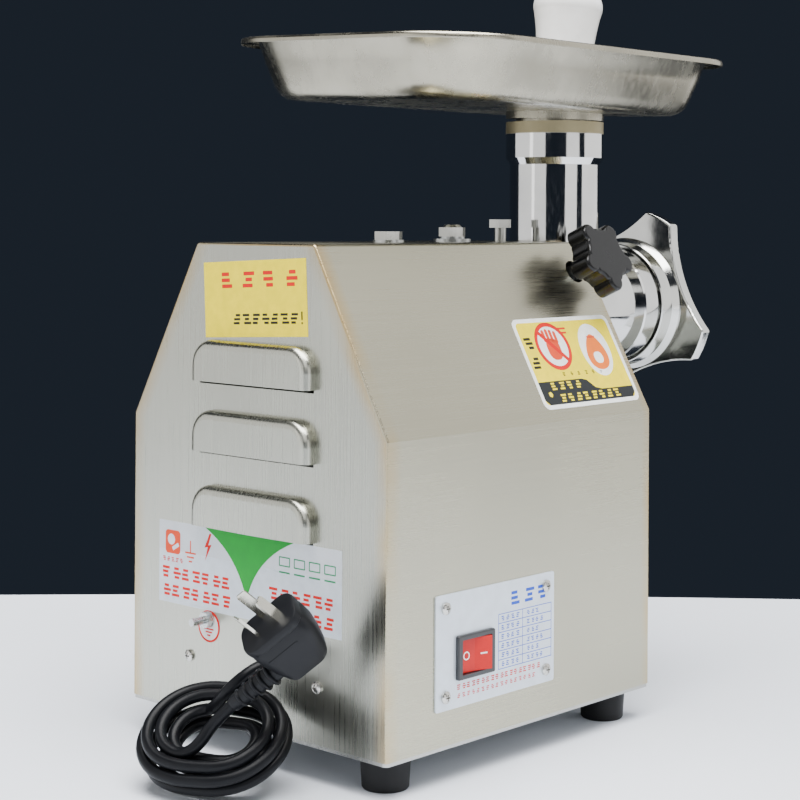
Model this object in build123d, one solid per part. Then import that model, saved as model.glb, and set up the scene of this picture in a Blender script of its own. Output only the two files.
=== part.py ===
"""Electric meat grinder: sheet-steel housing, geared motor, cast grinding head, feed pan and cord.

Millimetres. +Z is up, the grinding head points to -Y and the operator's right is -X.
The origin is on the surface that the grinder stands on, under the middle of the machine.
"""

import os
from math import acos, cos, pi, radians, sin, sqrt, tan

from build123d import *

# Drive housing
BODY_WIDTH = 220.0
BODY_LENGTH = 249.5
BODY_HEIGHT = 288.7  # over the shell, without the feet
SIDE_HEIGHT = 180.4  # of the upright part of each side
TOP_WIDTH = 102.2
SHEET = 1.5
BASE_SHEET = 2.0
BEND_RADIUS = 3.0
END_ROUNDING = 1.2  # where an end panel is welded in
FOOT_HEIGHT = 20.0
FOOT_X = 87.4
FOOT_INSET_FRONT = 20.0
FOOT_INSET_BACK = 23.5
FRONT = -62.6  # outer face of the front panel
BACK = FRONT + BODY_LENGTH
TOP = FOOT_HEIGHT + BODY_HEIGHT
FLANGE_HEIGHT = 42.0  # upturned ends of the base plate

# Drive train: three parallel shafts, one above the other
MODULE = 2.0
OUTPUT_TEETH, SHAFT_PINION_TEETH = 34, 13
WHEEL_TEETH, MOTOR_PINION_TEETH = 71, 24
OUTPUT_Z = FOOT_HEIGHT + 242.0
MIDDLE_Z = OUTPUT_Z - MODULE * (OUTPUT_TEETH + SHAFT_PINION_TEETH) / 2
MOTOR_Z = MIDDLE_Z - MODULE * (WHEEL_TEETH + MOTOR_PINION_TEETH) / 2
BACKLASH = 0.5
FIT = 0.05  # radial running fit
GAP = 0.3  # between other faces that pass each other
NECK_RADIUS = 34.0
SPIGOT_RADIUS = 26.2
CASE_FRONT = FRONT + 30.0
CASE_BACK = FRONT + 95.0
CASE_WALL = 5.0
MOTOR_RADIUS = 66.0

# Grinding head
TUBE_Y = FRONT - 38.7
TUBE_RADIUS = 31.6
COLLAR_RADIUS = 34.5
TUBE_TOP = FOOT_HEIGHT + 372.3
THROAT_RADIUS = 29.2
BARREL_RADIUS = 37.0
BARREL_BORE = 30.5
SHOULDER_RADIUS = 42.1
THREAD_RADIUS = 40.0
HEAD_FRONT = FRONT - 127.0
PLATE_RADIUS = 35.0
PLATE_THICKNESS = 8.0
RING_FRONT = FRONT - 136.2
RING_BACK = FRONT - 109.0
OUTLET_RADIUS = 31.0
LIP = 6.0
LOBE_RADIUS = 70.2
WAIST_RADIUS = 50.0
LOBE_HALF_ANGLE = 9.8
FIRST_LOBE_ANGLE = 114.4

# Feed pan and pusher
PAN_TILT = 2.15  # the pan sits a little askew in its collar
PAN_BOTTOM = FOOT_HEIGHT + 379.0
PAN_RIM = FOOT_HEIGHT + 417.8
PAN_SHEET = 1.2
PAN_WIDTH, PAN_LENGTH, PAN_CORNER = 225.0, 310.0, 57.0
PAN_CENTRE_Y = FRONT + 37.0
RIM_WIDTH = 12.0
FLOOR_WIDTH, FLOOR_LENGTH, FLOOR_CORNER = 176.0, 258.0, 38.0
SPOUT_RADIUS = 27.0
PUSHER_LEAN = 6.8

# Head lock: knob, screw and pad on one sloping axis
LOCK_ELEVATION = 23.9
LOCK_Y = FRONT + 18.3
LOCK_FACE = 97.8  # from the output axis to the knob's outer face
KNOB_RADIUS = 25.0
KNOB_PHASE = 16.4

# Mains cord and plug
CORD_DIAMETER = 7.0
GLAND_X, GLAND_Z = -37.0, FOOT_HEIGHT + 50.0
HANK_CENTRE = (-20.0, BACK + 46.5, FOOT_HEIGHT + 8.0)
HANK_DIRECTION = -158.0
HANK_SLOPE = 32.0
HANK_STRAIGHT, HANK_BEND, HANK_THICK = 9.0, 25.0, 14.0
PLUG_FACE = (-70.6, BACK + 53.5, FOOT_HEIGHT + 83.0)
PLUG_PINS_DIRECTION = (0.129, 0.774, 0.620)
PLUG_LONG_DIRECTION = (-0.656, -0.407, 0.643)
PLUG_LENGTH, PLUG_WIDTH, PLUG_DEPTH = 38.0, 27.0, 38.0
RELIEF_LENGTH = 32.0


# Basic shapes -------------------------------------------------------------------------------------


def rod(radius, y0, y1, x=0.0, z=0.0):
    """A cylinder along Y."""
    return Pos(x, (y0 + y1) / 2, z) * Rot(90, 0, 0) * Cylinder(radius, abs(y1 - y0))


def post(radius, z0, z1, x=0.0, y=0.0):
    """A cylinder along Z."""
    return Pos(x, y, (z0 + z1) / 2) * Cylinder(radius, abs(z1 - z0))


def block(x0, x1, y0, y1, z0, z1):
    return Pos((x0 + x1) / 2, (y0 + y1) / 2, (z0 + z1) / 2) * Box(x1 - x0, y1 - y0, z1 - z0)


def plate_y(outline, y0, y1):
    """An outline drawn in X and Z, made solid from y0 to y1."""
    return extrude(Plane.XZ.offset(-y0) * outline, amount=-(y1 - y0))


def turned_y(profile, z=0.0, x=0.0):
    """A solid turned about an axis along Y, from (radius, y) points."""
    face = make_face(Polyline(*profile, close=True))
    return Pos(x, 0, z) * revolve(face, Axis.Y)


def turned_z(profile, x=0.0, y=0.0):
    """A solid turned about an axis along Z, from (radius, z) points."""
    face = make_face(Plane.XZ * Polyline(*profile, close=True))
    return Pos(x, y, 0) * revolve(face, Axis.Z)


def hexagon(across_flats):
    return RegularPolygon(across_flats / 2, 6, major_radius=False)


def ring_of(piece, angles, z=0.0):
    """Copies of a piece round an axis along Y at height z."""
    return [Pos(0, 0, z) * Rot(0, -a, 0) * Pos(0, 0, -z) * piece for a in angles]


def save(name, *solids):
    """Writes one node; several pieces in it stay separate solids."""
    os.makedirs("parts", exist_ok=True)
    pieces = [s for shape in solids for s in shape.solids()]
    shape = pieces[0] if len(pieces) == 1 else Compound(children=pieces)
    export_step(shape, f"parts/{name}.step")


# Housing ------------------------------------------------------------------------------------------


def body_outline(inset, bottom):
    """The housing's six-sided section in X and Z, set in by a distance, from a bottom height."""
    slope = acos((BODY_WIDTH - TOP_WIDTH) / 2 / slope_length())
    shrink = inset * tan(slope / 2)
    side, top = BODY_WIDTH / 2 - inset, TOP - inset
    shoulder = FOOT_HEIGHT + SIDE_HEIGHT - shrink
    half_top = TOP_WIDTH / 2 - shrink_top(inset)
    right = [(side, bottom), (side, shoulder), (half_top, top)]
    points = right + [(-x, z) for x, z in reversed(right)]
    face = make_face(Polyline(*points, close=True))
    bends = [v for v in face.vertices() if v.Y > bottom + 1]
    return fillet(bends, max(BEND_RADIUS - inset, 0.8))


def slope_length():
    return sqrt(((BODY_WIDTH - TOP_WIDTH) / 2) ** 2 + (BODY_HEIGHT - SIDE_HEIGHT) ** 2)


def shrink_top(inset):
    """How much each top corner moves in when the section is set in."""
    rise = acos((BODY_WIDTH - TOP_WIDTH) / 2 / slope_length())
    return inset * tan(rise / 2)


def slope_plane(y, up):
    """A plane on the housing's -X slope: x along +Y, y up the slope, z outwards."""
    run = (BODY_WIDTH - TOP_WIDTH) / 2 / slope_length()
    rise = (BODY_HEIGHT - SIDE_HEIGHT) / slope_length()
    origin = (-BODY_WIDTH / 2 + run * up, FRONT + y, FOOT_HEIGHT + SIDE_HEIGHT + rise * up)
    return Plane(origin=origin, x_dir=(0, -1, 0), z_dir=(-rise, 0, run))


def lock_axis():
    return Vector(-cos(radians(LOCK_ELEVATION)), 0, sin(radians(LOCK_ELEVATION)))


def along_lock(radius, start, end):
    """A cylinder on the head lock's axis, between two distances from the output axis."""
    n = lock_axis()
    plane = Plane(origin=Vector(0, LOCK_Y, OUTPUT_Z) + n * start, z_dir=n)
    return extrude(plane * Circle(radius), amount=end - start)


TOP_BOLT_Y = (FRONT + 21.1, FRONT + 71.0, FRONT + 132.7)
SWITCH_Y, SWITCH_Z = FRONT + 176.0, FOOT_HEIGHT + 51.0
SWITCH_LENGTH, SWITCH_HEIGHT = 33.0, 25.6
CONTROL_Y, CONTROL_Z = FRONT + 155.7, FOOT_HEIGHT + 55.8
CONTROL_LENGTH, CONTROL_HEIGHT = 108.5, 66.5
CONTROL_SCREW_Y, CONTROL_SCREW_Z = 46.0, 25.4


def make_housing_shell():
    bottom = FOOT_HEIGHT + BASE_SHEET
    outer = plate_y(body_outline(0, bottom), FRONT, BACK)
    for end in (-1, 0):
        edges = outer.faces().sort_by(Axis.Y)[end].edges().filter_by(lambda e: e.center().Z > bottom + 1)
        outer = fillet(edges, END_ROUNDING)
    shell = outer - plate_y(body_outline(SHEET, bottom - 1), FRONT - 1, BACK + 1)
    shell -= along_lock(8.0, 55, 80)
    for y in TOP_BOLT_Y:
        shell -= post(4.3, TOP - 5, TOP + 5, y=y)
    side = -BODY_WIDTH / 2
    half_y, half_z = SWITCH_LENGTH / 2 - 2, SWITCH_HEIGHT / 2 - 2
    y, z = SWITCH_Y, SWITCH_Z
    shell -= block(side - 2, side + 4, y - half_y, y + half_y, z - half_z, z + half_z)
    for y, z in control_screw_places():
        shell -= Pos(side, y, z) * Rot(0, 90, 0) * Cylinder(2.1, 10)
    return shell


def control_screw_places():
    return [
        (CONTROL_Y + i * CONTROL_SCREW_Y, CONTROL_Z + k * CONTROL_SCREW_Z) for i in (-1, 1) for k in (-1, 1)
    ]


def make_front_panel():
    bottom = FOOT_HEIGHT + BASE_SHEET
    panel = plate_y(body_outline(SHEET, bottom), FRONT, FRONT + SHEET)
    panel -= rod(NECK_RADIUS + 0.5, FRONT - 1, FRONT + 5, z=OUTPUT_Z)
    for x, z in front_bolt_places():
        panel -= rod(3.2, FRONT - 1, FRONT + 5, x, z)
    for x, z in panel_screw_places():
        panel -= rod(2.1, FRONT - 1, FRONT + 5, x, z)
    return panel


def front_bolt_places():
    return [(i * x, OUTPUT_Z + z) for x, z in ((31.0, 27.0), (40.0, -40.0)) for i in (-1, 1)]


def panel_screw_places():
    return [(-55.6, FOOT_HEIGHT + 35.1), (55.6, FOOT_HEIGHT + 35.1)]


LOUVRE_HEIGHTS = (205.0, 162.5, 117.2)  # of each opening edge, above the shell's bottom
LOUVRE_WIDTH, LOUVRE_RISE, LOUVRE_DEPTH = 102.0, 25.0, 8.0
LOUVRE_X = -2.0


def louvre_form(width, rise, depth, round_edge):
    """A pressed hood standing on its opening edge: flat face, big upper corners, rounded rim."""
    half = width / 2
    outline = make_face(Polyline((-half, 0), (half, 0), (half, rise), (-half, rise), close=True))
    outline = fillet([v for v in outline.vertices() if v.Y > 1], 0.62 * rise)
    solid = plate_y(outline, BACK - SHEET, BACK + depth)
    rim = solid.faces().sort_by(Axis.Y)[-1].edges().filter_by(lambda e: e.center().Z > 0.5)
    return fillet(rim, round_edge)


def make_rear_panel():
    bottom = FOOT_HEIGHT + BASE_SHEET
    panel = plate_y(body_outline(SHEET, bottom), BACK - SHEET, BACK)
    outer = louvre_form(LOUVRE_WIDTH, LOUVRE_RISE, LOUVRE_DEPTH, 5.5)
    inner = louvre_form(LOUVRE_WIDTH - 2 * SHEET, LOUVRE_RISE - SHEET, LOUVRE_DEPTH - SHEET, 4.2)
    mouth = block(-LOUVRE_WIDTH, LOUVRE_WIDTH, BACK - 10, BACK + 20, -5, 0)
    for height in LOUVRE_HEIGHTS:
        here = Pos(LOUVRE_X, 0, FOOT_HEIGHT + height)
        panel += here * outer
        panel -= here * (inner + Pos(0, -1, 0) * inner)
        panel -= here * (mouth & (Pos(0, 0, -2) * inner))
    panel -= rod(6.05, BACK - 10, BACK + 10, GLAND_X, GLAND_Z)
    panel -= rod(EARTH_SEAT_RADIUS + 0.1, BACK - 10, BACK + 10, EARTH_X, EARTH_Z)
    for x, z in panel_screw_places():
        panel -= rod(2.1, BACK - 10, BACK + 10, x, z)
    return panel


def make_base_plate():
    z0, z1 = FOOT_HEIGHT, FOOT_HEIGHT + BASE_SHEET
    half = BODY_WIDTH / 2
    plate = block(-half, half, FRONT, BACK, z0, z1)
    plate = fillet(plate.edges().filter_by(Axis.Z), 3.0)
    inner = half - SHEET - 1.0
    for y0 in (FRONT + SHEET, BACK - SHEET - BASE_SHEET):
        plate += block(-inner, inner, y0, y0 + BASE_SHEET, z1, z1 + FLANGE_HEIGHT)
    for x, y in foot_places():
        plate -= post(2.7, z0 - 1, z1 + 1, x, y)
    for x, z in panel_screw_places():
        plate -= rod(1.7, FRONT - 1, FRONT + 8, x, z)
        plate -= rod(1.7, BACK - 8, BACK + 1, x, z)
    plate -= rod(8.0, BACK - 8, BACK + 1, GLAND_X, z1 + FLANGE_HEIGHT + 2)
    for x in (-34.0, -11.0, 11.0, 34.0):
        for y in (FRONT + 60, FRONT + 85, FRONT + 190, FRONT + 215):
            slot = extrude(Pos(x, y, z0 - 1) * SlotOverall(18, 4), amount=BASE_SHEET + 2)
            plate -= slot
    return plate


def foot_places():
    return [(i * FOOT_X, y) for i in (-1, 1) for y in (FRONT + FOOT_INSET_FRONT, BACK - FOOT_INSET_BACK)]


def make_feet():
    profile = [(2.7, 8), (6.5, 8), (6.5, 0), (13.0, 0), (13.6, 0.8), (14.9, FOOT_HEIGHT), (2.7, FOOT_HEIGHT)]
    return [Pos(x, y, 0) * turned_z(profile) for x, y in foot_places()]


def pan_head_screw(radius, head_radius, head_height, length):
    """A pan-head cross-recess screw, head up, with the head's underside at zero."""
    rim, flat = (head_radius, 0.45 * head_height), (0.72 * head_radius, head_height)
    head = turned_z([(0, 0), (head_radius, 0), rim, flat, (0, head_height)])
    screw = head + post(radius, -length, 0.1)
    for turn in (0, 90):
        screw -= Rot(0, 0, turn) * Pos(0, 0, head_height) * Box(0.9 * head_radius, 0.9, 1.6)
    return screw


def make_foot_screws():
    screw = Rot(180, 0, 0) * pan_head_screw(2.4, 5.0, 3.4, 16)
    return [Pos(x, y, 8) * screw for x, y in foot_places()]


def make_foot_nuts():
    nut = extrude(hexagon(8.0), amount=4.0) - Cylinder(2.42, 20)
    return [Pos(x, y, FOOT_HEIGHT + BASE_SHEET) * nut for x, y in foot_places()]


def make_panel_screws():
    screw = pan_head_screw(1.65, 3.6, 2.6, 7)
    rear = [Pos(x, BACK, z) * Rot(-90, 0, 0) * screw for x, z in panel_screw_places()]
    front = [Pos(x, FRONT, z) * Rot(90, 0, 0) * screw for x, z in panel_screw_places()]
    side = -BODY_WIDTH / 2 - 1.0
    control = [Pos(side, y, z) * Rot(0, -90, 0) * screw for y, z in control_screw_places()]
    return rear + front + control


def make_top_bolts():
    """Hex bolts that hang the gearbox (two) and the motor (one) from the housing's top."""
    front_y, middle_y, back_y = TOP_BOLT_Y
    front = Pos(0, front_y, TOP + 9.3) * extrude(hexagon(13.5), amount=5.6)
    front += post(4.0, TOP - 17, TOP + 9.4, y=front_y)
    middle = Pos(0, middle_y, TOP + 3.5) * extrude(hexagon(16.0), amount=6.0)
    middle += turned_z([(0, TOP + 9.4), (6.8, TOP + 9.4), (5.2, TOP + 11.2), (0, TOP + 11.8)], y=middle_y)
    middle += post(4.0, TOP - 7, TOP + 3.6, y=middle_y)
    back = Pos(0, back_y, TOP + 1.6) * extrude(hexagon(16.0), amount=5.3)
    back += post(4.0, TOP - 14, TOP + 1.7, y=back_y)
    return [front, middle, back]


def make_top_washers():
    _, middle_y, back_y = TOP_BOLT_Y
    wide = post(12.5, TOP, TOP + 2.0, y=middle_y) - post(4.2, TOP - 5, TOP + 9, y=middle_y)
    spring = post(8.5, TOP + 2.0, TOP + 3.5, y=middle_y) - post(4.2, TOP - 5, TOP + 9, y=middle_y)
    plain = post(10.0, TOP, TOP + 1.6, y=back_y) - post(4.2, TOP - 5, TOP + 9, y=back_y)
    return [wide, spring, plain]


# Controls, labels, earth terminal -----------------------------------------------------------------


def on_side(shape_2d, y, z, start, thickness):
    """A flat piece on the -X side, drawn with x along -Y and y up, from a distance outside the side."""
    plane = Plane(origin=(-BODY_WIDTH / 2 - start, y, z), x_dir=(0, -1, 0), z_dir=(-1, 0, 0))
    return extrude(plane * shape_2d, amount=thickness)


def make_control_plate():
    outline = RectangleRounded(CONTROL_LENGTH, CONTROL_HEIGHT, 1.5)
    plate = on_side(outline, CONTROL_Y, CONTROL_Z, 0, 1.0)
    plate -= on_side(Rectangle(SWITCH_LENGTH - 4, SWITCH_HEIGHT - 4), SWITCH_Y, SWITCH_Z, -1, 3)
    for y, z in control_screw_places():
        plate -= on_side(Circle(2.1), y, z, -1, 3)
    return plate


def make_switch_housing():
    body = on_side(Rectangle(SWITCH_LENGTH - 4.6, SWITCH_HEIGHT - 4.6), SWITCH_Y, SWITCH_Z, -26, 27.5)
    bezel = on_side(RectangleRounded(SWITCH_LENGTH, SWITCH_HEIGHT, 1.2), SWITCH_Y, SWITCH_Z, 1.0, 2.4)
    bezel = fillet(bezel.faces().sort_by(Axis.X)[0].edges(), 0.9)
    housing = body + bezel
    housing -= on_side(Rectangle(26.0, 20.0), SWITCH_Y, SWITCH_Z, -12, 20)
    for y in (-9.0, 0.0, 9.0):
        housing += on_side(Rectangle(0.8, 6.3), SWITCH_Y + y, SWITCH_Z, -36, 10.5)
    return housing


ROCKER_PIVOT_X = -BODY_WIDTH / 2 + 1.5
ROCKER_TILT = 10.0


def make_switch_rocker():
    """Two faces that meet at a shallow angle; the off half is pressed in at rest."""
    half, reach = 12.4, 5.4
    points = [(-half, -1.0), (-half, 4.2), (0, reach - 2.2), (half, 4.2), (half, -1.0), (3, -8.0), (-3, -8.0)]
    outline = make_face(Polyline(*points, close=True))
    plane = Plane(origin=(0, 0, -9.7), x_dir=(0, 1, 0), z_dir=(0, 0, 1))
    rocker = extrude(plane * outline, amount=19.4)
    tilt = Rot(0, 0, -ROCKER_TILT)
    return Pos(ROCKER_PIVOT_X, SWITCH_Y, SWITCH_Z) * tilt * rocker


LABEL = 0.25
EARTH_X, EARTH_Z = 37.8, FOOT_HEIGHT + 60.0
EARTH_SEAT_RADIUS = 3.0


def make_warning_label():
    return extrude(slope_plane(54.8, 38.2) * RectangleRounded(99.0, 61.5, 5.0), amount=LABEL)


def make_rear_label():
    outline = Pos(-1.0, FOOT_HEIGHT + 255.9) * Rot(0, 0, -2.9) * Rectangle(89.0, 45.5)
    return plate_y(outline, BACK, BACK + LABEL)


def make_wiring_label():
    outline = Pos(5.0, FOOT_HEIGHT + 90.3) * Rectangle(160.0, 50.6)
    return plate_y(outline, BACK, BACK + LABEL)


def make_earth_label():
    ring = plate_y(Pos(38.1, FOOT_HEIGHT + 55.0) * Circle(9.7), BACK, BACK + LABEL)
    return ring - rod(5.2, BACK - 5, BACK + 5, EARTH_X, EARTH_Z)


def make_earth_stud():
    """A stud with a thicker seat under its nuts and a bare end for the earth lead."""
    seat = rod(EARTH_SEAT_RADIUS, BACK - 9, BACK + 4.8, EARTH_X, EARTH_Z)
    return seat + rod(2.4, BACK + 4.8, BACK + 14.5, EARTH_X, EARTH_Z)


def make_earth_nuts():
    place = Pos(EARTH_X, BACK, EARTH_Z) * Rot(-90, 0, 0)
    hole = Cylinder(EARTH_SEAT_RADIUS + FIT, 20)
    washer = Cylinder(4.9, 1.0, align=(Align.CENTER, Align.CENTER, Align.MIN)) - hole
    nut = extrude(hexagon(8.8), amount=3.8) - hole
    inner = Pos(0, 0, -SHEET - 3.8) * nut
    return [place * washer, place * Pos(0, 0, 1.0) * nut, place * inner]


# Gears --------------------------------------------------------------------------------------------


def involute(angle):
    return tan(angle) - angle


def gear_outline(teeth, first_tooth):
    """Involute teeth with their backlash, drawn in X and Z; one tooth points at the given angle."""
    pitch = MODULE * teeth / 2
    base = pitch * cos(radians(20))
    root, tip = pitch - 1.25 * MODULE, pitch + 0.97 * MODULE
    half_at_pitch = pi / 2 / teeth - BACKLASH / 2 / pitch

    def half_angle(r):
        a = acos(base / r) if r > base else 0.0
        return half_at_pitch + involute(radians(20)) - involute(a)

    radii = [root, max(base, root + 0.2), pitch, (pitch + tip) / 2, tip]
    points = []
    for k in range(teeth):
        centre = radians(first_tooth) + 2 * pi * k / teeth
        flank = [(r, half_angle(r)) for r in radii]
        points += [(r * cos(centre - h), r * sin(centre - h)) for r, h in flank]
        points += [(r * cos(centre + h), r * sin(centre + h)) for r, h in reversed(flank)]
    return make_face(Polyline(*points, close=True))


def gear(teeth, z, y0, y1, bore, first_tooth):
    wheel = plate_y(Pos(0, z) * gear_outline(teeth, first_tooth), y0, y1)
    return wheel - rod(bore, y0 - 1, y1 + 1, z=z) if bore else wheel


GEAR_2_Y = (FRONT + 50, FRONT + 64)
GEAR_1_Y = (FRONT + 80, FRONT + 92)
SHAFT_RADIUS = 7.5
MOTOR_SHAFT_RADIUS = 8.5


def ball_bearing(bore, outside, width, y0, z):
    """A shielded ball bearing as one ring with shallow grooves in both faces."""
    middle = (bore + outside) / 2
    ring = rod(outside, y0, y0 + width, z=z) - rod(bore, y0 - 1, y0 + width + 1, z=z)
    for y in (y0, y0 + width - 0.6):
        ring -= rod(middle + 2, y, y + 0.6, z=z) - rod(middle - 2, y - 1, y + 2, z=z)
    return ring


BEARINGS = (  # bore, outside, width, start behind the front panel, shaft height
    (15.0, 27.5, 13.0, 31.0, OUTPUT_Z),
    (7.5, 17.5, 11.0, 66.0, OUTPUT_Z),
    (7.5, 17.5, 11.0, 36.0, MIDDLE_Z),
    (7.5, 17.5, 11.0, 95.0, MIDDLE_Z),
    (8.5, 20.0, 12.0, 96.0, MOTOR_Z),
    (8.5, 20.0, 12.0, 206.0, MOTOR_Z),
)


def make_bearings():
    return [ball_bearing(b + FIT, o, w, FRONT + y, z) for b, o, w, y, z in BEARINGS]


def case_outline(output, middle, motor):
    """A pear-shaped section round the three shafts."""
    sizes = ((OUTPUT_Z, output), (MIDDLE_Z, middle), (MOTOR_Z, motor))
    circles = [Pos(0, z) * Circle(radius) for z, radius in sizes]
    return make_hull([e for c in circles for e in c.edges()])


def case_screw_places():
    """On lugs round the case's flange."""
    places = []
    for angle, z, radius in ((50, OUTPUT_Z, 47), (130, OUTPUT_Z, 47), (8, MIDDLE_Z, 83), (172, MIDDLE_Z, 83),
                             (-35, MOTOR_Z, 36), (215, MOTOR_Z, 36)):
        places.append((radius * cos(radians(angle)), z + radius * sin(radians(angle))))
    return places


def make_gearbox_case():
    case = plate_y(case_outline(43, 78, 32), CASE_FRONT, CASE_BACK)
    hollow = case_outline(43 - CASE_WALL, 78 - CASE_WALL + 1.6, 32 - CASE_WALL)
    case -= plate_y(hollow, CASE_FRONT + 6, CASE_BACK + 1)
    for x, z in case_screw_places():
        case += rod(6.5, CASE_BACK - 14, CASE_BACK, x, z) - plate_y(hollow, CASE_FRONT, CASE_BACK + 1)
    neck = rod(NECK_RADIUS, FRONT - 4, FRONT + 46, z=OUTPUT_Z)
    case += neck & plate_y(case_outline(43, 78, 32), FRONT - 9, CASE_BACK)
    case += rod(20.5, CASE_FRONT, FRONT + 47, z=MIDDLE_Z)
    for x, z in front_bolt_places():
        case += rod(7.0, FRONT + SHEET, CASE_FRONT + 1, x, z)
        case -= rod(3.0, FRONT, CASE_FRONT - 4, x, z)
    for y in TOP_BOLT_Y[:2]:
        case += block(-10, 10, y - 10, y + 10, OUTPUT_Z + 25, TOP - SHEET) if y > CASE_FRONT else (
            post(9.0, OUTPUT_Z + 20, TOP - SHEET, y=y))
    case -= rod(SPIGOT_RADIUS + FIT, FRONT - 10, FRONT + 25, z=OUTPUT_Z)
    case -= rod(18.0, FRONT + 20, FRONT + 50, z=OUTPUT_Z)
    case -= rod(27.5, FRONT + 31, FRONT + 50, z=OUTPUT_Z)
    case -= rod(17.5, FRONT + 36, FRONT + 50, z=MIDDLE_Z)
    case -= plate_y(hollow, FRONT + 49, CASE_BACK + 1)
    case -= post(4.05, TOP - 18, TOP, y=TOP_BOLT_Y[0])
    case -= post(4.05, TOP - 8, TOP, y=TOP_BOLT_Y[1])
    case -= along_lock(5.0 + FIT, 20, 60)
    for x, z in case_screw_places():
        case -= rod(2.5, CASE_BACK - 12, CASE_BACK + 1, x, z)
    return case


def make_bearing_plate():
    """The web inside the case that carries the back end of the output shaft."""
    web = plate_y(case_outline(43 - CASE_WALL, 78 - CASE_WALL + 1.6, 32 - CASE_WALL), FRONT + 68, FRONT + 77)
    web &= block(-90, 90, FRONT, BACK, MIDDLE_Z + 16, TOP)
    web += rod(24.0, FRONT + 66, FRONT + 77, z=OUTPUT_Z)
    web -= rod(17.5, FRONT + 60, FRONT + 80, z=OUTPUT_Z)
    return web


def make_gearbox_cover():
    cover = plate_y(case_outline(43, 78, MOTOR_RADIUS), CASE_BACK, CASE_BACK + 6)
    for x, z in case_screw_places():
        cover += rod(6.5, CASE_BACK, CASE_BACK + 6, x, z)
    cover += rod(23.0, CASE_BACK, CASE_BACK + 12, z=MIDDLE_Z)
    cover += rod(26.0, CASE_BACK, CASE_BACK + 13.5, z=MOTOR_Z)
    cover += rod(MOTOR_RADIUS - 4, CASE_BACK, CASE_BACK + 9, z=MOTOR_Z)
    cover -= rod(17.5, CASE_BACK - 1, CASE_BACK + 11, z=MIDDLE_Z)
    cover -= rod(20.0, FRONT + 96, CASE_BACK + 20, z=MOTOR_Z)
    cover -= rod(12.0, CASE_BACK - 1, CASE_BACK + 20, z=MOTOR_Z)
    for x, z in case_screw_places():
        cover -= rod(2.7, CASE_BACK - 1, CASE_BACK + 10, x, z)
        cover -= rod(4.6, CASE_BACK + 6, CASE_BACK + 20, x, z)
    return cover


def socket_screw(radius, length):
    head = Cylinder(1.7 * radius, 2 * radius, align=(Align.CENTER, Align.CENTER, Align.MIN))
    head -= Pos(0, 0, radius) * extrude(hexagon(1.6 * radius), amount=2 * radius)
    return head + post(radius, -length, 0.1)


def make_gearbox_screws():
    screw = socket_screw(2.5, 17)
    return [Pos(x, CASE_BACK + 6, z) * Rot(-90, 0, 0) * screw for x, z in case_screw_places()]


def make_front_bolts():
    bolt = extrude(hexagon(10.0), amount=4.0) + post(3.0, -22, 0.1)
    return [Pos(x, FRONT, z) * Rot(90, 0, 0) * bolt for x, z in front_bolt_places()]


def make_oil_seal():
    seal = rod(18.0, FRONT + 25.5, FRONT + 30.5, z=OUTPUT_Z)
    return seal - rod(15.0 + FIT, FRONT, FRONT + 40, z=OUTPUT_Z)


SOCKET_WIDTH, SOCKET_THICK = 17.0, 10.0


def make_output_shaft():
    """A hollow drive socket in front, the gear seat in the middle and a small journal behind."""
    shaft = rod(15.0, FRONT + 25.5, FRONT + 64, z=OUTPUT_Z)
    shaft += rod(SHAFT_RADIUS, FRONT + 64, FRONT + 77, z=OUTPUT_Z)
    slot = Pos(0, OUTPUT_Z) * RectangleRounded(SOCKET_WIDTH, SOCKET_THICK, 2.0)
    return shaft - plate_y(slot, FRONT + 20, FRONT + 44)


def make_output_gear():
    return gear(OUTPUT_TEETH, OUTPUT_Z, *GEAR_2_Y, 15.0, -90 + 180 / OUTPUT_TEETH)


def make_intermediate_shaft():
    shaft = rod(SHAFT_RADIUS, FRONT + 36, FRONT + 106, z=MIDDLE_Z)
    shaft += rod(9.5, FRONT + 47.5, FRONT + 94, z=MIDDLE_Z)
    return shaft + gear(SHAFT_PINION_TEETH, MIDDLE_Z, GEAR_2_Y[0] - 1, GEAR_2_Y[1] + 1, 0, 90)


def make_intermediate_gear():
    wheel = gear(WHEEL_TEETH, MIDDLE_Z, *GEAR_1_Y, 9.5, -90 + 180 / WHEEL_TEETH)
    for y in (GEAR_1_Y[0], GEAR_1_Y[1] - 3):
        wheel -= rod(60, y, y + 3, z=MIDDLE_Z) - rod(20, y - 1, y + 4, z=MIDDLE_Z)
    return wheel


# Motor --------------------------------------------------------------------------------------------


def make_motor_pinion():
    return gear(MOTOR_PINION_TEETH, MOTOR_Z, GEAR_1_Y[0] - 1, GEAR_1_Y[1] + 1, MOTOR_SHAFT_RADIUS, 90)


def make_motor_shaft():
    return rod(MOTOR_SHAFT_RADIUS, FRONT + 78, FRONT + 231, z=MOTOR_Z)


def make_rotor_core():
    core = rod(32.5, FRONT + 122, FRONT + 182, z=MOTOR_Z) + rod(28.0, FRONT + 116, FRONT + 188, z=MOTOR_Z)
    return core - rod(MOTOR_SHAFT_RADIUS, FRONT, BACK, z=MOTOR_Z)


def make_stator_core():
    core = rod(MOTOR_RADIUS - 4, FRONT + 122, FRONT + 182, z=MOTOR_Z) - rod(33.0, FRONT, BACK, z=MOTOR_Z)
    slot = block(-2.2, 2.2, FRONT, BACK, MOTOR_Z + 32, MOTOR_Z + 50)
    for piece in ring_of(slot, range(0, 360, 30), MOTOR_Z):
        core -= piece
    return core


def make_stator_windings():
    rings = []
    for y0, y1 in ((FRONT + 111, FRONT + 122), (FRONT + 182, FRONT + 196)):
        ring = rod(56.0, y0, y1, z=MOTOR_Z) - rod(36.0, FRONT, BACK, z=MOTOR_Z)
        rings.append(fillet(ring.edges(), 3.5))
    return rings


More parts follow.
